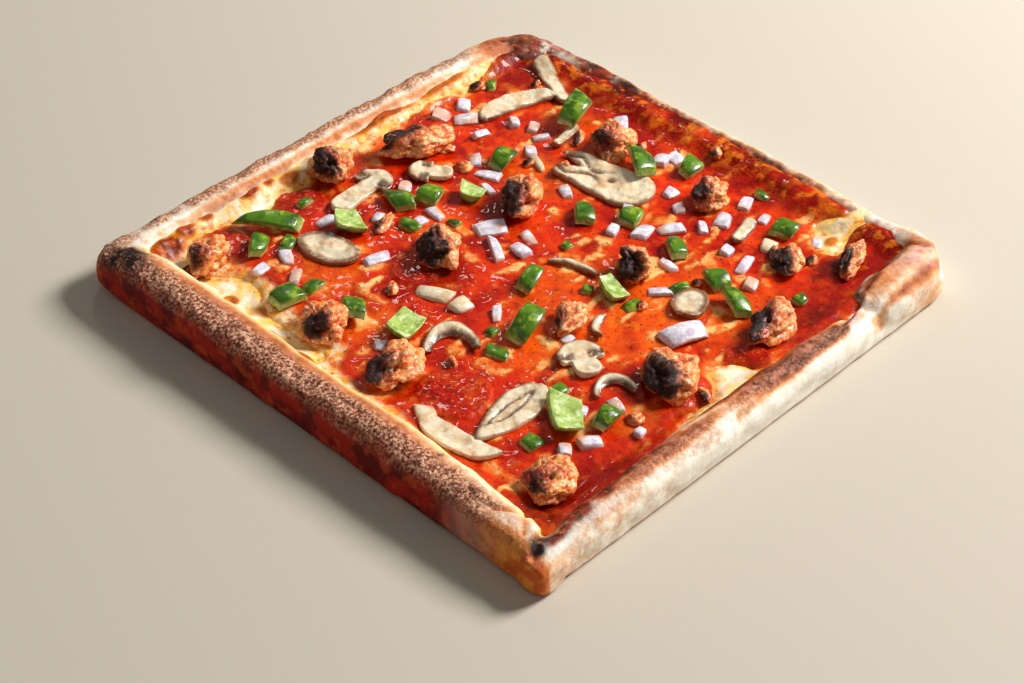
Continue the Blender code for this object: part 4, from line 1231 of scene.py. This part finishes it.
def knobs(outward, size, seed):
    """Round knobs with sharp creases between, from 0 in a crease to 1 on a knob."""
    nearest = noise.voronoi(outward / size + Vector((seed * 7.7, seed * 3.1, seed)))[0][0]
    return math.sqrt(max(0.0, 1 - min(nearest / 0.85, 1.0) ** 2))


def torn_lump(length, width, height, seed, burning, fineness=LUMP_FINENESS):
    """A lump with its burnt side and its bare meat marked: the burnt side is partly painted shade away from
    the light, and the bare meat is painted light on the side towards it.
    """
    work = bmesh.new()
    marks = {name: work.verts.layers.float.new(name) for name in ("burnt", "flesh", "knob")}
    bmesh.ops.create_icosphere(work, subdivisions=fineness, radius=1)
    scale = min(1.0, height / 13)
    for vertex in work.verts:
        outward = vertex.co.normalized()
        lump = 1 + 0.42 * unevenness(outward, 0.72, seed * 3.1)
        point = Vector((outward.x * length / 2, outward.y * width / 2, height * 0.55 * outward.z)) * lump
        large = knobs(outward, KNOB_SIZE, seed)
        small = knobs(outward, SMALL_KNOB_SIZE, seed + 20)
        rough = KNOB_HEIGHT * (large - 0.75) + SMALL_KNOB_HEIGHT * (small - 0.75)
        point += outward * rough * scale
        point.z = max(point.z + height * 0.4, 0)
        ragged = 0.34 * unevenness(point, 6, seed + 3) + 0.2 * unevenness(point, 2.2, seed + 5)
        # Burnt black on the upper side away from the light, partly painted shade; bare pinkish meat on the
        # side towards the light, painted light.
        side = outward.dot(BURNT_AND_SHADED_SIDE)
        vertex[marks["burnt"]] = float(eased(side + ragged + 0.7 * burning, 0.95, 1.3))
        vertex[marks["flesh"]] = float(eased(0.98 - 0.75 * side + ragged * 1.3))
        vertex[marks["knob"]] = float(0.5 * large + 0.5 * small)
        vertex.co = point
    return work


def lower_onto(work, x, y, node, sink):
    """Moves a piece to its place, with its lowest point a little below its node's."""
    lowest = min(v.co.z for v in work.verts)
    move(work, x, y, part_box(node)[0].z / MM - lowest - sink)


def browned_sausage():
    material, tree, shader = new_finish("browned_sausage", 0.36, coat_roughness=0.08, specular=0.3)
    burnt, flesh, knob = masks_of(tree, "burnt", "flesh", "knob")
    crust = lay_colours(tree, (176, 36, 6), ("dark crust", (108, 8, 2), None, (4, 0.4, 0.6), 1))
    meat = lay_colours(tree, (255, 174, 92), ("red meat", (234, 98, 26), None, (3, 0.42, 0.6, 0.4), 1))
    # Black char, partly painted shade on the side away from the light.
    black = both(tree, burnt, mottled(tree, 2.6, 0.22, 0.46))
    colour = lay_colours(
        tree,
        crust,
        # Lighter meat on the side towards the light: painted light.
        ("meat", meat, flesh, None, 1),
        # Pale fat speckles, partly painted highlights on the lit side.
        ("fat and painted highlights", (255, 222, 190), more(tree, flesh, 0.25), (1.5, 0.56, 0.64, 0.8, 2), 0.8),
        # Darker in the creases between the knobs: painted shade.
        ("crease", (138, 16, 2), remap(tree, knob, 0.7, 0.4), None, 0.6),
        ("black", (22, 6, 6), black, None, 0.97),
    )
    tree.links.new(remap(tree, burnt, to_low=0.3, to_high=0.6), shader.inputs["Roughness"])
    tree.links.new(remap(tree, black, to_low=0.2, to_high=0.02), shader.inputs["Coat Weight"])
    dress(tree, shader, sauced(tree, colour, 0.7), 1.5, 0.5, 0.9)
    return material


SAUSAGE_FINISH = browned_sausage()
for number, (x, y, length, width, height, turn, burning) in enumerate(SAUSAGES, 1):
    name, node = f"sausage_lump_{number:02d}", f"sausage_{number:02d}"
    lump = turned(torn_lump(length, width, height, number, burning), turn)
    lower_onto(lump, x, y, node, SAUSAGE_SINK)
    finish_topping(name, lump, SAUSAGE_WET_REACH, SAUSAGE_FINISH, "sausage", node)

# Crumbs that broke off the lumps are made like them, with fewer faces, and joined as one piece.
# Each: x, y, length, width, turn in degrees, and how burnt it is.
SAUSAGE_CRUMBS = [
    (-29, 70, 17, 8, 20, 0.6), (91, 123, 9, 7, 0, 0.9), (130, -9, 9, 6, 40, 0.5), (93, 52, 13, 5, 30, 1),
    (60, 55, 9, 5, -20, 1), (114, 102, 6, 5, 0, 1), (44, -69, 5, 5, 0, 1), (-118, 112, 6, 5, 0, 0.9),
    (-92, -1, 8, 6, 10, 0.4), (-16, -124, 11, 6, 60, 0.7), (38, 94, 9, 6, -30, 0.3), (33, 76, 9, 8, 0, 0.1),
    (-50, -113, 9, 8, 20, 0), (97, -97, 8, 6, 0, 1), (88, -80, 12, 4, 20, 1), (70, 40, 7, 5, 60, 0.3),
    (-80, -28, 8, 5, 60, 0.2), (12, -62, 7, 5, 0, 0.3), (-62, 30, 8, 6, 40, 0.2), (110, 24, 8, 5, 10, 0.6),
]
CRUMB_HEIGHT = 4.2
CRUMB_SINK = 0.8
CRUMB_FINENESS = 3
CRUMB_WET_REACH = 1.5
crumbs = bmesh.new()
for index, (x, y, length, width, turn, burning) in enumerate(SAUSAGE_CRUMBS):
    crumb = turned(torn_lump(length, width, CRUMB_HEIGHT, index + 60, burning, CRUMB_FINENESS), turn)
    move(crumb, x, y, sauce_level(x, y) - CRUMB_SINK)
    gather(crumbs, crumb)
finish_topping("sausage_crumbs", crumbs, CRUMB_WET_REACH, SAUSAGE_FINISH, "sausage", "sauce")

# Green pepper is diced with its skin on. Each piece is a thick curved bit of wall: the outside is
# dark, waxy green, and the cut sides and the inside are pale and wet.
PEPPER_THICKNESS = 4.2
PEPPER_SINK = 0.7
PEPPER_CUTS = 5
PEPPER_ROUND = 0.13
PEPPER_UNEVEN = 0.14
PEPPER_BIT_HEIGHT = 3.8
PEPPER_BIT_SINK = 0.8
PEPPER_BIT_BEND = 0.08
PEPPER_BIT_ROUND = 0.2
# Each piece: x, y, length, width, turn and tilt in degrees.
PEPPERS = [
    (-70, 108, 29, 10, -50, 8), (-86, 97, 14, 12, 40, 20), (-44, 79, 14, 12, 60, 15),
    (-11, 78, 13, 11, 60, 0), (3, 68, 13, 11, 20, 10), (17, 56, 13, 11, -60, 0),
    (50, 66, 16, 10, 10, 8), (104, 64, 20, 12, 25, 12), (96, 12, 19, 11, 62, 18),
    (45, 5, 14, 12, 45, 12), (60, -13, 14, 11, 20, 0), (113, -7, 15, 10, 5, 14),
    (-81, 4, 19, 13, 8, 12), (-86, 30, 15, 9, 62, 15), (-103, 61, 15, 10, -10, 0),
    (-39, -37, 22, 11, 12, 16), (-13, -13, 16, 11, 20, 8), (9, -46, 14, 11, 75, 12),
    (57, -45, 16, 11, 60, 10), (52, -77, 13, 10, 70, 0), (44, -94, 17, 10, 65, 14),
    (-73, -91, 22, 12, 45, 12), (-61, -105, 15, 12, 20, 16), (106, -75, 12, 11, 10, 8),
]
# Smaller bits: x, y, length, width, turn in degrees.
PEPPER_BITS = [
    (-73, 91, 12, 7, 30), (-21, 60, 7, 12, 10), (97, 119, 9, 6, 40), (-87, 58, 12, 7, 10),
    (-60, -37, 8, 11, 20), (10, -60, 13, 7, -15), (35, -66, 12, 6, -25), (-93, -90, 10, 9, 0),
    (-60, -76, 9, 7, 10), (69, -112, 7, 6, 0), (-46, 109, 9, 5, 5), (-51, -25, 7, 6, 10),
    (22, -5, 6, 5, 0), (-4, 46, 5, 7, 0), (3, -36, 6, 5, 30), (121, -46, 5, 7, 0),
]
# Pieces that landed skin down, so that their pale inside shows.
SKIN_DOWN = (3, 6, 13, 18, 22)


def green_pepper():
    material, tree, shader = new_finish("green_pepper", 0.28, coat=0.2, coat_roughness=0.06, specular=0.4)
    cut_face = lay_colours(
        tree,
        (166, 190, 92),
        ("pale flesh", (206, 222, 164), None, (2.8, 0.44, 0.62), 1),
        ("green flesh", (112, 146, 28), None, (5, 0.48, 0.64, 0.6), 0.8),
    )
    waxy = lay_colours(
        tree,
        (82, 126, 14),
        ("dark skin", (44, 84, 8), None, (7, 0.4, 0.62, 0.2), 1),
        ("light skin", (150, 174, 44), None, (4.5, 0.52, 0.68, 0.9), 0.8),
    )
    colour = lay_colours(tree, cut_face, ("skin", waxy, masks_of(tree, "skin")[0], None, 1))
    dress(tree, shader, sauced(tree, colour, 0.6), 2.8, 0.9, 0.3)
    return material


PEPPER_FINISH = green_pepper()
for number, (x, y, length, width, turn, tilt) in enumerate(PEPPERS, 1):
    name, node = f"pepper_piece_{number:02d}", f"pepper_{number:02d}"
    draw = random.Random(number + 70)
    bend = draw.uniform(0.05, 0.16)
    chip = cut_chip(length, width, PEPPER_THICKNESS, bend, number, PEPPER_CUTS, PEPPER_ROUND, PEPPER_UNEVEN)
    turned(chip, 0, 0, 180 if number in SKIN_DOWN else 0)
    turned(chip, turn, tilt, draw.uniform(-14, 14))
    lower_onto(chip, x, y, node, PEPPER_SINK)
    finish_topping(name, chip, WET_REACH, PEPPER_FINISH, "pepper", node)
scatter(
    "pepper_bits", PEPPER_BITS, PEPPER_BIT_HEIGHT, PEPPER_BIT_SINK, PEPPER_BIT_BEND, PEPPER_BIT_ROUND,
    PEPPER_FINISH, "pepper",
)

# One large petal of onion lies on top, near the front right, clear and shiny. It is bent like the
# other chips, and has the finish of the diced onion.
PETAL_X, PETAL_Y = 10, -91
PETAL_LENGTH, PETAL_WIDTH, PETAL_HEIGHT = 22, 11, 2.6
PETAL_TURN, PETAL_TILT = -20, 6
PETAL_BEND = 0.08
PETAL_SEED = 77
PETAL_CUTS = 7
PETAL_SINK = 0.5
petal = cut_chip(PETAL_LENGTH, PETAL_WIDTH, PETAL_HEIGHT, PETAL_BEND, PETAL_SEED, PETAL_CUTS)
turned(petal, PETAL_TURN, PETAL_TILT)
lower_onto(petal, PETAL_X, PETAL_Y, "onion_petal", PETAL_SINK)
finish_topping("onion_petal_piece", petal, WET_REACH, ONION_FINISH, "onion", "onion_petal")

# The studio: a plain pale floor, one large soft light from the right, a weak fill from the front
# left, a small light from behind that makes the wet parts glint, and a camera that looks down at
# the near corner.
FLOOR_REACH = 6.0
FLOOR_COLOUR = (196, 188, 174)
ROOM_LIGHT = (1.0, 0.97, 0.93, 1.0)
ROOM_STRENGTH = 0.17
LENS_PIXELS = 2269.9
FRAME_PIXELS = 1024
SENSOR_MM = 36.0
CAMERA_TURN = math.radians(-47.14)
CAMERA_RISE = math.radians(39.72)
CAMERA_ROLL = math.radians(1.42)
CAMERA_DISTANCE = 1.0693
CAMERA_AIM = Vector((-0.0361, -0.0242, 0.0))

floor_work = bmesh.new()
bmesh.ops.create_grid(floor_work, x_segments=1, y_segments=1, size=FLOOR_REACH / MM)
studio_floor = as_object("studio_floor", floor_work)
floor_finish, _, floor_shader = new_finish("studio_floor", 0.8, specular=0.2)
floor_shader.inputs["Base Color"].default_value = paint(*FLOOR_COLOUR)
studio_floor.data.materials.append(floor_finish)

camera_back = Vector(
    (
        math.sin(CAMERA_TURN) * math.cos(CAMERA_RISE),
        -math.cos(CAMERA_TURN) * math.cos(CAMERA_RISE),
        math.sin(CAMERA_RISE),
    )
)
camera_right = Vector((math.cos(CAMERA_TURN), math.sin(CAMERA_TURN), 0))
camera_up = camera_back.cross(camera_right)
rolled_right = camera_right * math.cos(CAMERA_ROLL) + camera_up * math.sin(CAMERA_ROLL)
rolled_up = camera_up * math.cos(CAMERA_ROLL) - camera_right * math.sin(CAMERA_ROLL)
camera_data = bpy.data.cameras.new("camera")
camera_data.sensor_width = SENSOR_MM
camera_data.lens = SENSOR_MM * LENS_PIXELS / FRAME_PIXELS
camera_data.clip_start = 0.01
camera = bpy.data.objects.new("camera", camera_data)
camera.matrix_world = Matrix.Translation(CAMERA_AIM + camera_back * CAMERA_DISTANCE) @ Matrix(
    (rolled_right, rolled_up, camera_back)
).transposed().to_4x4()
bpy.context.scene.collection.objects.link(camera)
bpy.context.scene.camera = camera


def soft_light(name, size, power, colour, place):
    """A square light at a place, facing the pizza."""
    lamp = bpy.data.lights.new(name, "AREA")
    lamp.shape = "SQUARE"
    lamp.size = size
    lamp.energy = power
    lamp.color = colour
    made = bpy.data.objects.new(name, lamp)
    made.location = place
    made.rotation_euler = Vector(place).to_track_quat("Z", "Y").to_euler()
    bpy.context.scene.collection.objects.link(made)


soft_light("window", 0.66, 70.0, (1.0, 0.975, 0.94), (1.5, -0.56, 1.28))
soft_light("fill", 1.6, 2.6, (1.0, 0.88, 0.78), (-1.2, -0.6, 1.1))
soft_light("glint", 0.12, 1.3, (1.0, 0.97, 0.92), (0.75, 0.9, 1.05))
world = bpy.data.worlds.new("studio")
world.use_nodes = True
room = world.node_tree.nodes["Background"]
room.inputs["Color"].default_value = ROOM_LIGHT
room.inputs["Strength"].default_value = ROOM_STRENGTH
bpy.context.scene.world = world
bpy.context.scene.view_settings.view_transform = "Standard"
